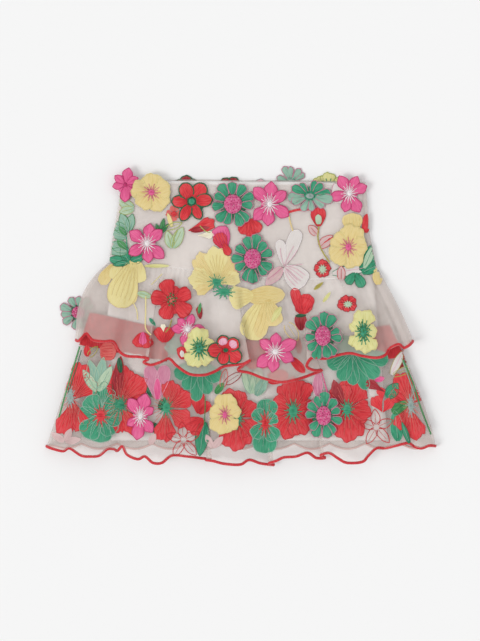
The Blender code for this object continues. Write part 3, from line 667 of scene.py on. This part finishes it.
def half_width(share, form):
    """Half width of a petal or leaf, 0 to 1, at a share of the way from its root to its tip."""
    if form == "leaf":
        return max(0.05, share ** 0.7 * (1 - share) ** 0.8 / 0.355)
    if form == "oval":
        return max(0.08, math.sqrt(max(0, 1 - (2 * share - 1) ** 2)))
    if form == "star":
        swelling = 0.3 + 0.7 * math.sin(math.pi * min(1, share) ** 1.6)
        return max(0.06, swelling * math.sqrt(max(0, 1 - share ** 6)))
    return max(0.10, share ** 0.6 * math.sqrt(max(0, 1 - share ** 5)) / 0.78)


def stitch_line(work, thread, path, wide, level, lift, high=0.3):
    """A stitched line: a low rounded ridge along a path."""
    walked = [0]
    for here, there in zip(path, path[1:]):
        walked.append(walked[-1] + math.dist(here, there))

    def spot(strand, step):
        (x0, y0), (x, y), (x1, y1) = path[max(step - 1, 0)], path[step], path[min(step + 1, len(path) - 1)]
        long = math.hypot(x1 - x0, y1 - y0) or 1
        aside = (strand - 1) / 2 * wide
        rise = lift if aside else lift + high
        return x + aside * (y1 - y0) / long, y - aside * (x1 - x0) / long, rise, (aside, walked[step], 0.5)
    stitch_net(work, thread, 3, len(path), level, spot)


def smooth_path(corners):
    """Places along a smooth curve through the corners."""
    spacing = 2.2
    spots = [Edge(*corner) for corner in corners]
    path = []
    for first in range(len(spots) - 1):
        steps = max(1, round(math.dist(spots[first], spots[first + 1]) / spacing))
        for step in range(steps):
            place = first + step / steps
            path.append((spline(spots, place, "x"), spline(spots, place, "y")))
    return path + [tuple(spots[-1])]


def stitch_petal(
        work, thread, root, tip, wide, level, form, edge, lift, dome=0.0, notch=0.0, frill=0.0,
        edge_wide=0.8, spacing=2.4, vein=None, veins=()):
    """A petal or leaf in satin stitch that runs from its root to its tip, with an outline if it has one.
    A fan opens evenly from its root to a wide frilled rim; the other forms are widest part of the way out.
    Each vein is a long stitch at a share of the half width to one side of the middle."""
    long = math.dist(root, tip)
    ahead = ((tip[0] - root[0]) / long, (tip[1] - root[1]) / long)
    steps, half = max(4, round(long / spacing)), max(2, round(wide / 2 / spacing))
    phase = 0.7 * root[0] + 0.4 * tip[1]
    opening = math.atan(wide / 1.5 / long)
    if form == "fan":
        half = max(5, half)

    def place(share, aside):
        if form == "fan":
            ripple = math.sin(8 * aside + phase) + 0.6 * math.sin(17 * aside + 2 * phase)
            reach = long * share * (1 - 0.26 * abs(aside) ** 2.5) * (1 + frill * ripple * share ** 2)
            reach *= 1 - notch * (1 - abs(aside)) ** 2 * share ** 4
            turn = aside * opening * (0.62 + 0.38 * share)
            forward, width = reach * math.cos(turn), reach * math.sin(turn)
        else:
            forward = long * (share - notch * (1 - abs(aside)) ** 2 * share ** 4)
            width = wide / 2 * half_width(share, form) * (1 + frill * math.sin(11 * share + phase)) * aside
        x = root[0] + ahead[0] * forward - ahead[1] * width
        y = root[1] + ahead[1] * forward + ahead[0] * width
        return x, y, forward, width

    def spot(step, column):
        share, aside = between(0.05, 1, step / steps), (column - half) / half
        x, y, forward, across = place(share, aside)
        rise = lift + dome * (1 - aside * aside) * math.sin(math.pi * share)
        return x, y, rise, (forward + phase, across + 3 * phase, share)

    if thread:
        stitch_net(work, thread, steps + 1, 2 * half + 1, level, spot)
    for aside in veins:
        path = [place(between(0.15, 0.8, step / 8), aside)[:2] for step in range(9)]
        stitch_line(work, vein, path, 0.5, level, lift=lift + 0.15)
    if edge:
        round_steps = max(6, round(long / 2))
        rim = [(step / round_steps, 1) for step in range(1, round_steps)]
        rim += [(1, 1 - step / half) for step in range(2 * half + 1)]
        rim += [(1 - step / round_steps, -1) for step in range(1, round_steps)]
        path = [place(share, aside)[:2] for share, aside in rim]
        stitch_line(work, edge, path, edge_wide, level, lift=lift + 0.05)


Disc = namedtuple("Disc", "x y across along")


def sized(disc, share):
    """A flower's disc made larger or smaller about its middle."""
    return Disc(disc.x, disc.y, share * disc.across, share * disc.along)


def around(disc, angle, reach):
    """A place at this angle around a flower's middle, a share of the way to its rim or past it."""
    return disc.x + disc.across * reach * math.sin(angle), disc.y + disc.along * reach * math.cos(angle)


def stitch_rays(work, thread, disc, count, near, far, level, turn, wide, lift):
    """Straight stitches that spread from a flower's middle, by turns long and short."""
    for number in range(count):
        angle = math.radians(turn + 360 * number / count + 4 * math.sin(3 * number))
        outer = far * (1 if number % 2 else 0.72)
        path = [around(disc, angle, between(near, outer, step / 3)) for step in range(4)]
        stitch_line(work, thread, path, wide, level, lift, high=0.2)


def stitch_dot(work, thread, disc, level, lift, dome=0.4, rings=3, corners=14):
    """A round or oval spot, domed. A knot is a small one with few corners."""
    def spot(ring, step):
        reach = ring / rings
        x, y = around(disc, -2 * math.pi * step / corners, reach)
        return x, y, lift + dome * (1 - reach ** 2), (x, y, reach)
    stitch_net(work, thread, rings + 1, corners + 1, level, spot)


def stitch_bloom(work, bloom, level):
    """A flower embroidered flat and seen open, its petals even but for small differences."""
    middle = (bloom.x, bloom.y)
    lift = 0.62 if bloom.thread == "green" else 0.3     # green flowers are sewn over red ones
    for number in range(bloom.petals):
        angle = math.radians(bloom.turn + 360 * number / bloom.petals + 6 * math.sin(7 * number + bloom.x))
        tip = around(bloom, angle, 1 + 0.10 * math.sin(5 * number + bloom.y))
        reach = math.dist(tip, middle)
        form, wide = "fan", min(2.3 * reach * math.tan(math.pi / bloom.petals), 1.5 * reach)
        if bloom.edge == "mint":
            form, wide = "petal", 0.85 * reach
        stitch_petal(
            work, bloom.thread, middle, tip, wide, level, form, bloom.edge, lift=lift + 0.12 * (number % 3),
            frill=0.05)
    if bloom.heart_size > 3:
        pale = "coral" if bloom.thread == "red" else "mint"
        stitch_rays(
            work, pale, bloom, count=30, near=0.3, far=0.86, level=level, turn=bloom.turn, wide=0.45,
            lift=1.0)
    heart = sized(bloom, bloom.heart_size / bloom.across)
    stitch_rays(
        work, bloom.heart, heart, count=20, near=0.4, far=1.7, level=level, turn=bloom.turn, wide=1.0,
        lift=1.15)
    stitch_dot(work, bloom.heart, sized(heart, 0.8), level, lift=1.25)


def stitch_band(work, band, rows):
    """A band of stitching that follows a tier's cloth down from its seam, between two places across it."""
    columns = [column for column, point in enumerate(rows[0]) if band.left <= point[0] <= band.right]

    def spot(row, column):
        x, y, z = rows[row][columns[column]]
        return x, y, z + 0.5, (y, x, 0.4)
    stitch_net(
        work, band.thread, round(band.deep * (len(rows) - 1)) + 1, len(columns), lambda x, y: 0, spot)


Leaf = namedtuple("Leaf", "thread form edge x0 y0 x1 y1 wide")
Tip = namedtuple("Tip", "x y wide")
Bloom = namedtuple("Bloom", "thread x y across along petals turn edge heart heart_size")
Stem = namedtuple("Stem", "thread wide corners")
Band = namedtuple("Band", "thread left right deep")


def spray(thread, form, edge, x, y, *tips):
    """Leaves or petals in one thread that spread from one root."""
    return [Leaf(thread, form, edge, x, y, tip.x, tip.y, tip.wide) for tip in tips]


YOKE_LEAVES = [
    *spray("pale_green", "leaf", "lime", -119, 120, Tip(-138, 130, 10), Tip(-136, 116, 9)),
    *spray(
        "mint", "leaf", "leaf_green", -127, 93, Tip(-144, 105, 11), Tip(-134, 115, 11), Tip(-121, 114, 10)),
    *spray("mint", "leaf", "leaf_green", -127, 88, Tip(-147, 93, 10)),
    *spray("leaf_green", "leaf", "mint", -128, 90, Tip(-137, 101, 7)),
    *spray("mint", "leaf", "leaf_green", -125, 72, Tip(-147, 82, 12), Tip(-149, 72, 9)),
    *spray("leaf_green", "leaf", "mint", -127, 74, Tip(-139, 85, 8)),
    *spray(
        "green", "leaf", "dark_green", -125, 60, Tip(-149, 64, 10), Tip(-134, 76, 10), Tip(-108, 67, 10),
        Tip(-143, 57, 6)),
    *spray("leaf_green", "leaf", "dark_green", -90, 92, Tip(-86, 109, 5), Tip(-81, 103, 4), Tip(-95, 103, 4)),
    *spray("pale_green", "leaf", "lime", -77, 75, Tip(-83, 95, 10), Tip(-65, 99, 12)),
    *spray(None, "leaf", "lime", -85, 97, Tip(-66, 104, 7)),
    *spray("pale_yellow", "leaf", None, -77, 99, Tip(-82, 115, 5)),
    *spray("poppy_yellow", "oval", None, -109, 56, Tip(-80, 56, 4)),
    *spray("cream", "fan", None, -49, 90, Tip(-31, 91, 9)),
    *spray("red", "fan", "deep_red", -60, 95, Tip(-30, 105, 16)),
    *spray("dark_red", "leaf", None, -57, 95, Tip(-35, 99, 7)),
    *spray("red", "petal", "deep_red", 10, 109, Tip(0, 92, 13), Tip(21, 94, 13), Tip(11, 87, 11)),
    *spray("sheer", "petal", "white", 48, 56, Tip(64, 96, 16), Tip(71, 35, 27), Tip(43, 85, 11)),
    *spray("sheer_pink", "leaf", "pale_pink", 47, 55, Tip(28, 35, 12)),
    *spray("red", "petal", "deep_red", 87, 99, Tip(86, 121, 18)),
    *spray("pale_green", "oval", "deep_red", 87, 102, Tip(86, 114, 8)),
    *spray("sheer_pink", "leaf", "red", 86, 90, Tip(76, 101, 9)),
    *spray("sheer_pink", "leaf", "red", 87, 76, Tip(102, 90, 11)),
    *spray("sheer", "leaf", "green", 100, 47, Tip(149, 56, 11)),
    *spray("sheer", "oval", "dusty_pink", 109, 125, Tip(109, 150, 16)),
    *spray("yellow", "petal", None, 125, 90, Tip(124, 115, 24)),
    *spray("red", "oval", "deep_red", 139, 92, Tip(141, 114, 9)),
    *spray("green", "leaf", "dark_green", 134, 48, Tip(155, 85, 17), Tip(159, 60, 12)),
    *spray("pale_green", "leaf", "green", 137, 52, Tip(150, 82, 9)),
    *spray("sheer_pink", "leaf", "red", 112, 39, Tip(112, 56, 9)),
    *spray("green", "petal", "dark_green", 128, 49, Tip(118, 36, 11), Tip(136, 32, 12)),
    *spray("pale_yellow", "fan", None, -26, 35, Tip(-57, 45, 30), Tip(-2, 45, 20)),
    *spray("yellow", "fan", None, -27, 35, Tip(-48, 69, 28), Tip(-7, 66, 26), Tip(-50, 27, 14)),
    *spray("pale_yellow", "fan", None, -26, 35, Tip(-28, 77, 30)),
    *spray("magenta", "petal", "deep_pink", -17, 74, Tip(-25, 100, 21)),
    *spray("red", "petal", "deep_red", -16, 73, Tip(-27, 92, 16)),
    *spray("red", "petal", "deep_red", -20, 82, Tip(-13, 68, 9)),
]
YOKE_BLOOMS = [
    Bloom("green", -27, 38, 8, 7, 0, 0, None, "green", 6.5),
    Bloom("green", -19, 27, 9, 6, 0, 0, None, "green", 7.5),
    Bloom("red", 91, 52, 9, 10, 5, 0, "dark_red", "pale_green", 3),
    Bloom("coral", -75, 114, 9, 9, 4, 0, None, "red", 2),
]
YOKE_STEMS = [
    Stem("red", 2.6, (53, 116, 66, 119, 81, 119)), Stem("yellow", 1.4, (53, 114, 55, 105, 58, 95)),
    Stem("olive", 1.5, (87, 100, 86, 87, 90, 74, 99, 60)), Stem("red", 1.2, (93, 82, 102, 88)),
    Stem("pale_pink", 0.5, (48, 56, 54, 69, 59, 78)), Stem("pale_pink", 0.5, (48, 56, 45, 67, 44, 76)),
    Stem("pale_pink", 0.5, (49, 56, 58, 66, 63, 74)), Stem("pale_pink", 0.5, (49, 55, 62, 57, 69, 58)),
    Stem("pale_pink", 0.5, (49, 54, 57, 46, 63, 40)), Stem("dusty_pink", 0.7, (47, 55, 39, 48, 30, 41)),
    Stem("green", 1.1, (-128, 88, -127, 74, -125, 58)), Stem("lime", 1.0, (-77, 76, -75, 87, -71, 96)),
    Stem("lime", 0.9, (-46, 101, -40, 95, -34, 93)),
]
UPPER_LEAVES = [
    *spray("yellow", "petal", None, -143, 59, Tip(-156, 35, 15)),
    *spray("pale_yellow", "petal", None, -136, 62, Tip(-141, 40, 17)),
    *spray("pale_yellow", "petal", None, -114, 62, Tip(-114, 37, 18)),
    *spray("pale_yellow", "petal", "yellow", -120, 63, Tip(-138, 10, 34)),
    *spray("yellow", "petal", None, -122, 58, Tip(-122, 13, 15)),
    *spray("pale_green", "leaf", "lime", -116, 26, Tip(-99, 21, 7)),
    *spray("yellow", "oval", None, 7, 21, Tip(49, 24, 22)),
    *spray("pale_yellow", "petal", None, 15, 24, Tip(-13, 19, 27)),
    *spray("pale_yellow", "petal", None, 27, 22, Tip(9, -26, 33)),
    *spray("yellow", "petal", None, 29, 20, Tip(20, -24, 16), Tip(39, -11, 22)),
    *spray("poppy_yellow", "leaf", None, 45, 11, Tip(34, -7, 7)),
    *spray(None, "leaf", "yellow", 50, -7, Tip(63, -27, 13)),
    *spray("red", "oval", "deep_red", 59, 10, Tip(80, 13, 18)),
    *spray("red", "petal", "deep_red", 67, 1, Tip(76, 24, 17), Tip(59, 31, 12)),
    *spray("dark_red", "petal", "deep_red", 67, -17, Tip(66, 1, 14)),
    *spray("dark_green", "leaf", None, 60, 0, Tip(73, 1, 4)),
    *spray("red", "petal", "deep_red", -109, -18, Tip(-116, -34, 14), Tip(-102, -35, 14)),
    *spray("magenta", "petal", None, -109, -17, Tip(-109, -32, 9)),
    *spray("red", "petal", "deep_red", -85, -30, Tip(-93, -13, 13), Tip(-78, -13, 13)),
    *spray("cream", "fan", None, -86, -18, Tip(-87, -9, 7)),
    *spray("red", "oval", None, 55, -46, Tip(71, -63, 10)),
    *spray("olive", "leaf", None, 81, 29, Tip(92, 38, 4)),
    *spray("poppy_yellow", "leaf", None, 91, 15, Tip(100, 27, 4)),
    *spray("yellow", "oval", None, 153, 34, Tip(152, 54, 11)),
    *spray("red", "petal", "deep_red", -65, -49, Tip(-66, -34, 12)),
    *spray("sheer", "oval", None, -65, -46, Tip(-66, -38, 5)),
    *spray("dark_red", "petal", None, -45, -4, Tip(-47, 11, 8)),
    *spray("leaf_green", "leaf", None, -47, 2, Tip(-45, 15, 4)),
    *spray("green", "leaf", None, -102, -2, Tip(-95, -11, 4)),
]
UPPER_BLOOMS = [
    Bloom("red", 119, 13, 11, 9, 5, 45, "dark_red", "pale_green", 3),
]
UPPER_STEMS = [
    Stem("pale_yellow", 1.4, (-106, 22, -106, 4, -106, -13, -100, -21)),
    Stem("pale_yellow", 1.1, (-120, 15, -116, 6, -115, -4)),
    Stem("pale_yellow", 0.9, (-100, 35, -94, 41, -88, 47)),
    Stem("olive", 1.2, (-77, -4, -80, -13, -84, -18)),
]
LOWER_LEAVES = [
    *spray("coral", "oval", "red", -158, -40, Tip(-139, -39, 20)),
    *spray("mint", "fan", None, -50, -43, Tip(-84, -29, 24)),
    *spray("red", "leaf", None, 65, -43, Tip(64, -24, 7)),
    *spray("green", "fan", None, 151, -38, Tip(109, -30, 24)),
    *spray("red", "oval", None, 28, -71, Tip(53, -65, 16)),
    *spray("red", "leaf", None, -171, -46, Tip(-172, -32, 8)),
    *spray(None, "leaf", "olive", -171, -46, Tip(-160, -34, 7)),
    *spray(
        "red", "fan", "deep_red", -187, -93, Tip(-177, -53, 26), Tip(-162, -73, 24), Tip(-195, -72, 12),
        Tip(-199, -132, 26), Tip(-176, -128, 22)),
    *spray("mint", "leaf", "pale_green", -160, -85, Tip(-169, -49, 13), Tip(-153, -46, 13)),
    *spray("pale_green", "leaf", "mint", -160, -85, Tip(-144, -56, 12), Tip(-176, -60, 10)),
    *spray("green", "fan", "dark_green", -155, -105, Tip(-150, -74, 20)),
    *spray("red", "leaf", None, -144, -92, Tip(-146, -54, 11)),
    *spray("dark_red", "leaf", "deep_red", -140, -96, Tip(-134, -45, 13)),
    *spray("dark_green", "oval", None, -134, -64, Tip(-136, -46, 6)),
    *spray(
        "red", "fan", "deep_red", -136, -99, Tip(-129, -57, 28), Tip(-108, -69, 26), Tip(-104, -97, 24),
        Tip(-116, -129, 26), Tip(-136, -130, 14)),
    *spray("dusty_pink", "petal", "pale_pink", -93, -94, Tip(-103, -55, 16), Tip(-84, -55, 16)),
    *spray("magenta", "oval", "pale_pink", -93, -94, Tip(-93, -69, 8)),
    *spray("dark_green", "leaf", None, -92, -90, Tip(-106, -80, 10)),
    *spray("dark_green", "leaf", None, -91, -105, Tip(-84, -91, 9)),
    *spray("dark_green", "leaf", None, -91, -129, Tip(-103, -119, 11)),
    *spray(
        "red", "fan", "deep_red", -83, -103, Tip(-76, -73, 26), Tip(-57, -87, 28), Tip(-58, -119, 26),
        Tip(-86, -139, 28)),
    *spray(
        "green", "petal", "mint", -48, -50, Tip(-73, -68, 18), Tip(-62, -82, 16), Tip(-50, -95, 15),
        Tip(-36, -87, 16), Tip(-24, -72, 18)),
    *spray("red", "petal", None, -47, -110, Tip(-48, -85, 17), Tip(-35, -96, 13)),
    *spray("red", "petal", None, -41, -115, Tip(-64, -122, 16), Tip(-55, -132, 13)),
    *spray("green", "leaf", "dark_green", -41, -116, Tip(-46, -156, 15)),
    *spray(None, "leaf", "dark_red", -19, -76, Tip(1, -63, 9)),
    *spray(None, "leaf", "coral", -21, -81, Tip(-17, -59, 8)),
    *spray("leaf_green", "leaf", None, -29, -87, Tip(-19, -74, 8)),
    *spray("pale_green", "leaf", "mint", 13, -88, Tip(4, -55, 14), Tip(21, -56, 14)),
    *spray("mint", "leaf", "pale_green", 16, -90, Tip(29, -67, 12)),
    *spray("red", "petal", "deep_red", 69, -96, Tip(76, -75, 13)),
    *spray("dusty_pink", "leaf", "pale_pink", 85, -90, Tip(86, -62, 11)),
    *spray("dark_red", "leaf", None, 112, -101, Tip(103, -71, 13)),
    *spray(
        "green", "petal", "mint", 124, -40, Tip(97, -56, 20), Tip(111, -72, 17), Tip(125, -77, 15),
        Tip(140, -82, 14), Tip(153, -68, 18), Tip(164, -50, 18)),
    *spray("magenta", "oval", None, 149, -72, Tip(160, -69, 6)),
    *spray("dark_red", "fan", None, 161, -85, Tip(140, -73, 12)),
    *spray("red", "fan", None, 158, -108, Tip(148, -90, 17), Tip(168, -93, 15)),
    *spray("red", "fan", None, 158, -94, Tip(155, -80, 12)),
    *spray(
        "red", "fan", "deep_red", 188, -99, Tip(177, -64, 26), Tip(167, -85, 18), Tip(175, -125, 20),
        Tip(195, -137, 28), Tip(202, -85, 14)),
    *spray("green", "leaf", "dark_green", 162, -92, Tip(175, -75, 14)),
    *spray("leaf_green", "leaf", "dark_green", 167, -108, Tip(188, -95, 12)),
    *spray("green", "leaf", "mint", 175, -141, Tip(171, -105, 14)),
    *spray("green", "leaf", "dark_green", 188, -143, Tip(179, -118, 6)),
    *spray("dark_red", "leaf", None, 174, -59, Tip(185, -38, 12)),
    *spray("sheer", "leaf", "olive", 167, -67, Tip(181, -38, 9)),
    *spray(None, "leaf", "olive", 168, -67, Tip(193, -56, 8)),
    *spray(
        "sheer_pink", "leaf", None, -196, -140, Tip(-212, -130, 8), Tip(-189, -125, 8), Tip(-178, -137, 8)),
    *spray("sheer_pink", "leaf", None, -32, -147, Tip(-20, -134, 8), Tip(-39, -132, 8)),
    *spray("sheer_pink", "leaf", None, -102, -143, Tip(-95, -131, 8)),
    *(leaf for x, y in ((-64, -138), (151, -124)) for leaf in spray(
        None, "leaf", "deep_red", x, y, Tip(x - 2, y + 20, 10), Tip(x + 18, y + 8, 10),
        Tip(x + 14, y - 17, 10), Tip(x - 11, y - 18, 10), Tip(x - 19, y + 6, 10))),
]
LOWER_BLOOMS = [
    Bloom("green", -156, -111, 24, 30, 8, 5, "mint", "red", 6),
    Bloom("red", -134, -99, 22, 30, 0, 0, None, "green", 5),
    Bloom("red", -83, -102, 22, 32, 0, 0, None, "green", 5),
    Bloom("red", -4, -114, 23, 34, 5, 50, "deep_red", "green", 5),
    Bloom("green", 27, -120, 15, 30, 6, 8, "mint", "red", 4.5),
    Bloom("red", 58, -106, 24, 34, 5, 0, "deep_red", "green", 6),
    Bloom("red", 118, -104, 24, 34, 5, 30, "deep_red", "green", 5),
    Bloom("red", -190, -90, 14, 30, 0, 0, None, "grey_mint", 3.5),
    Bloom("red", 189, -100, 13, 30, 0, 0, None, "grey_mint", 3.5),
]
LOWER_STEMS = [
    Stem("leaf_green", 1.7, (-180, -34, -187, -58, -195, -84, -203, -113)),
    Stem("dark_green", 1.0, (-178, -38, -185, -62, -193, -86)),
    Stem("leaf_green", 1.7, (181, -49, 192, -75, 200, -101, 212, -132)),
    Stem("mint", 1.2, (179, -47, 187, -69, 195, -94)),
    Stem("magenta", 1.3, (90, -63, 93, -74, 97, -87)),
    Stem("leaf_green", 1.0, (-40, -90, -40, -105, -41, -121)),
]
VEINS = {
    "red": "coral", "coral": "red", "yellow": "pale_yellow", "pale_yellow": "yellow", "green": "mint",
    "mint": "pale_green", "sheer": "pale_pink", "magenta": "deep_pink"}
BANDS = [Band("deep_red", -170, -78, 0.24), Band("red", -4, 30, 0.24), Band("deep_red", 143, 170, 0.26)]
NARROW_LEAF, BROAD_LEAF = 10, 18
STEM_LIFT = 1.2
for name, cloths, leaves, blooms, stems in (
        ("yoke_embroidery", (yoke_front, fronts["upper_tier_front"]), YOKE_LEAVES, YOKE_BLOOMS, YOKE_STEMS),
        ("upper_tier_embroidery", (yoke_front, fronts["upper_tier_front"]), UPPER_LEAVES, UPPER_BLOOMS,
         UPPER_STEMS),
        ("lower_tier_embroidery", (fronts["lower_tier_front"],), LOWER_LEAVES, LOWER_BLOOMS, LOWER_STEMS)):
    level = level_on(*cloths)
    work = {}
    if name == "lower_tier_embroidery":
        for band in BANDS:
            stitch_band(work, band, front_rows["lower_tier_front"])
    for bloom in blooms:
        stitch_bloom(work, bloom, level)
    for number, leaf in enumerate(leaves):
        veins = (0,) if leaf.form == "leaf" and leaf.edge else ()
        if leaf.wide > BROAD_LEAF:
            veins = (-0.66, -0.33, 0, 0.33, 0.66)
        # leaves sewn later lie a little higher, and narrow ones higher than their broad neighbours
        lift = 0.55 + 0.06 * (number % 4) + 0.35 * number / len(leaves)
        lift += 0.3 if leaf.wide < NARROW_LEAF else 0
        stitch_petal(
            work, leaf.thread, (leaf.x0, leaf.y0), (leaf.x1, leaf.y1), leaf.wide, level, leaf.form, leaf.edge,
            lift, frill=0.04, edge_wide=0.6 if leaf.thread else 0.9, vein=VEINS.get(leaf.thread, leaf.edge),
            veins=veins)
    for stem in stems:
        corners = list(zip(stem.corners[::2], stem.corners[1::2]))
        stitch_line(work, stem.thread, smooth_path(corners), stem.wide, level, STEM_LIFT)
    for thread, (points, faces, grain) in work.items():
        if faces:
            piece = make_piece(f"{name}_{thread}", points, faces, grain, [finishes[thread]])


# Thick flowers are embroidered apart on stiff felt, cut out and sewn on by their middles, so that
# their petals stand free of the tulle. A few sit behind the waist and show past its edge.
Applique = namedtuple("Applique", "node kind x y across along turn")
Look = namedtuple("Look", "petals thread edge form root wide notch frill heart heart_size")
Rays = namedtuple("Rays", "kind thread count near far wide lift")
LOOKS = {
    "petunia": Look(5, "yellow", "pale_yellow", "fan", 0.02, 1.50, 0.05, 0.03, "magenta", 0.15),
    "poppy": Look(5, "poppy_yellow", "pale_yellow", "fan", 0.05, 1.40, 0.04, 0.045, "green", 0.24),
    "wild": Look(5, "red", "deep_red", "petal", 0.12, 0.76, 0.0, 0.05, "coral", 0.14),
    "star": Look(6, "magenta", "deep_pink", "star", 0.06, 0.58, 0.0, 0.06, "white", 0.12),
    "folded": Look(6, "magenta", "deep_pink", "star", 0.06, 0.62, 0.0, 0.06, "deep_pink", 0.10),
    "round": Look(6, "red", "dark_green", "oval", 0.18, 0.61, 0.0, 0.0, "green", 0.15),
    "berry": Look(5, "red", "dark_green", "oval", 0.12, 0.82, 0.0, 0.0, "dark_green", 0.14),
    "daisy": Look(11, "green", "dusty_pink", "petal", 0.36, 0.46, 0.0, 0.03, "pink", 0.42),
    "turned": Look(11, "green", "dusty_pink", "petal", 0.20, 0.46, 0.0, 0.04, "grey_mint", 0.18),
    "pale_daisy": Look(11, "mint", "dusty_pink", "petal", 0.34, 0.46, 0.0, 0.03, "pink", 0.36),
    "back_mint": Look(11, "mint", "dusty_pink", "petal", 0.20, 0.44, 0.0, 0.04, "grey_mint", 0.2),
    "back_round": Look(6, "dark_red", "dark_green", "oval", 0.20, 0.86, 0.0, 0.0, "dark_green", 0.30),
    "back_star": Look(6, "pale_pink", "grey_mint", "petal", 0.08, 0.80, 0.0, 0.04, "white", 0.20),
    "back_poppy": Look(5, "poppy_yellow", "lime", "fan", 0.05, 1.30, 0.04, 0.05, "lime", 0.26),
}
APPLIQUES = [
    Applique("flower_waist_star_left", "folded", -129, 147, 15, 18, 12),
    Applique("flower_waist_petunia", "petunia", -100, 138, 23, 22, 0),
    Applique("flower_waist_round", "round", -55, 128, 23, 23, 30),
    Applique("flower_waist_daisy", "daisy", -9, 125, 24, 26, 0),
    Applique("flower_waist_star", "star", 32, 125, 22, 27, 0),
    Applique("flower_waist_daisy_folded", "turned", 77, 134, 25, 17, 8),
    Applique("flower_waist_star_right", "star", 121, 137, 20, 24, 20),
    Applique("flower_yoke_star", "star", -105, 81, 22, 24, 0),
    Applique("flower_yoke_daisy", "daisy", 13, 64, 23, 27, 10),
    Applique("flower_yoke_petunia", "petunia", 120, 77, 22, 25, 15),
    Applique("flower_upper_round", "wild", -77, 18, 22, 26, -12),
    Applique("flower_upper_star_folded", "star", -59, -15, 17, 19, 25),
    Applique("flower_upper_poppy_left", "poppy", -46, -36, 18, 22, 0),
    Applique("flower_upper_round_low", "berry", -17, -38, 20, 17, -20),
    Applique("flower_upper_star", "star", 38, -40, 24, 23, 0),
    Applique("flower_upper_daisy", "daisy", 91, -22, 21, 27, 5),
    Applique("flower_upper_poppy_right", "poppy", 136, -18, 16, 24, 10),
    Applique("flower_lower_star", "star", -112, -112, 18, 25, 10),
    Applique("flower_lower_petunia", "petunia", -18, -110, 17, 24, 0),
    Applique("flower_lower_daisy", "daisy", 92, -111, 20, 26, 8),
    Applique("flower_side_daisy", "pale_daisy", -182, 4, 21, 19, 0),
    Applique("flower_back_round_left", "back_round", -62, 141, 16, 16, 0),
    Applique("flower_back_round", "back_round", -13, 141, 17, 15, 30),
    Applique("flower_back_star", "back_star", 21, 139, 15, 14, 0),
    Applique("flower_back_daisy", "back_mint", 56, 149.6, 17, 19, 0),
    Applique("flower_back_poppy", "back_poppy", 98, 143, 18, 19, 0),
]
RAYS = [
    Rays("star", "white", 28, 0.06, 0.48, 0.6, 0.85), Rays("petunia", "pink", 20, 0.08, 0.46, 0.6, 0.85),
    Rays("wild", "coral", 20, 0.10, 0.46, 0.5, 0.85), Rays("poppy", "green", 26, 0.18, 0.60, 1.0, 0.80),
    Rays("poppy", "dark_green", 17, 0.16, 0.40, 0.5, 0.95),
]
FELT = 0.7
PETAL_ROOM = 0.75       # room for petals, from the top of the flower's solid down to its felt
KNOT_TURN = 2.4         # radians from one knot to the next one further out


def level_on_node(node, x0, y0):
    """Height of a flower's felt; a place just past its edge takes the height further in."""
    tree = tree_of(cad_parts[node])

    def level(x, y):
        for share in (1, 0.95, 0.9, 0.84, 0.76, 0.66, 0.5, 0.3, 0.1):
            spot = Vector((between(x0, x, share) * MM, between(y0, y, share) * MM, ABOVE))
            hit = tree.ray_cast(spot, DOWN)[0]
            if hit:
                return hit.z / MM - PETAL_ROOM
        return None
    return level


for flower in APPLIQUES:
    look = LOOKS[flower.kind]
    level = level_on_node(flower.node, flower.x, flower.y)
    work = {}
    middle = (flower.x, flower.y)
    daisy, star = "daisy" in flower.kind, "star" in flower.kind
    ground = "dark_green" if daisy or flower.kind == "round" else look.thread
    stitch_dot(work, ground, sized(flower, 0.45 if star else 0.64), level, lift=0.1, dome=0.1)
    loose = 2.5 if flower.kind in ("wild", "star", "folded") else 1.5
    for number in range(look.petals):
        angle = flower.turn + 360 * number / look.petals + 4 * loose * math.sin(9 * number + flower.x)
        angle, vary = math.radians(angle), 1 + 0.04 * loose * math.sin(4 * number + flower.y)
        root, tip = around(flower, angle, look.root * vary), around(flower, angle, vary)
        broad = look.wide * (1 + 0.2 * math.cos(angle) if flower.kind == "round" else 1)
        thread = look.thread
        if flower.kind == "turned" and math.cos(angle) < -0.1:
            thread = "mint"     # its lower petals are turned over, wrong side up
        stitch_petal(
            work, thread, root, tip, broad * math.dist(tip, middle), level, look.form, look.edge,
            lift=0.2 + 0.2 * (number % 2), dome=0.5, notch=look.notch, frill=look.frill,
            edge_wide=1.5 if look.edge == "dark_green" else 0.8, spacing=1.8)
        if flower.kind == "berry" and number < 2:
            inner = [around(flower, angle, share * vary) for share in (0.34, 0.84)]
            stitch_petal(
                work, "pale_pink", *inner, 0.5 * flower.across, level, "oval", None, lift=0.8, dome=0.4,
                spacing=1.8)
    for rays in RAYS:
        if rays.kind in flower.kind:
            stitch_rays(
                work, rays.thread, flower, rays.count, rays.near, rays.far, level, flower.turn, rays.wide,
                rays.lift)
    heart = sized(flower, look.heart_size)
    stitch_dot(work, look.heart, heart, level, lift=0.85, dome=0.6)
    if daisy or flower.kind in ("poppy", "wild"):
        knots, spread, size = (50, 1, 0.8) if daisy else (14, 2, 1.1)
        for number in range(knots):
            reach = math.sqrt((number + 0.5) / knots)
            thread = ("magenta", "pale_pink", "deep_pink")[number % 3] if daisy else "leaf_green"
            knot = Disc(*around(heart, KNOT_TURN * number, spread * reach), size, size)
            stitch_dot(
                work, thread, knot, level, lift=1.0 + 0.6 * (1 - reach ** 2), dome=0.6, rings=1, corners=6)
    points, faces, grain, which = [], [], [], []
    for number, (more_points, more_faces, more_grain) in enumerate(work.values()):
        first = len(points)
        points += more_points
        grain += more_grain
        faces += [tuple(first + corner for corner in face) for face in more_faces]
        which += [number] * len(more_faces)
    piece = make_piece(
        flower.node + "_stitched", points, faces, grain, [finishes[thread] for thread in work], which)
    thicken(piece, FELT)
    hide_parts(flower.node)
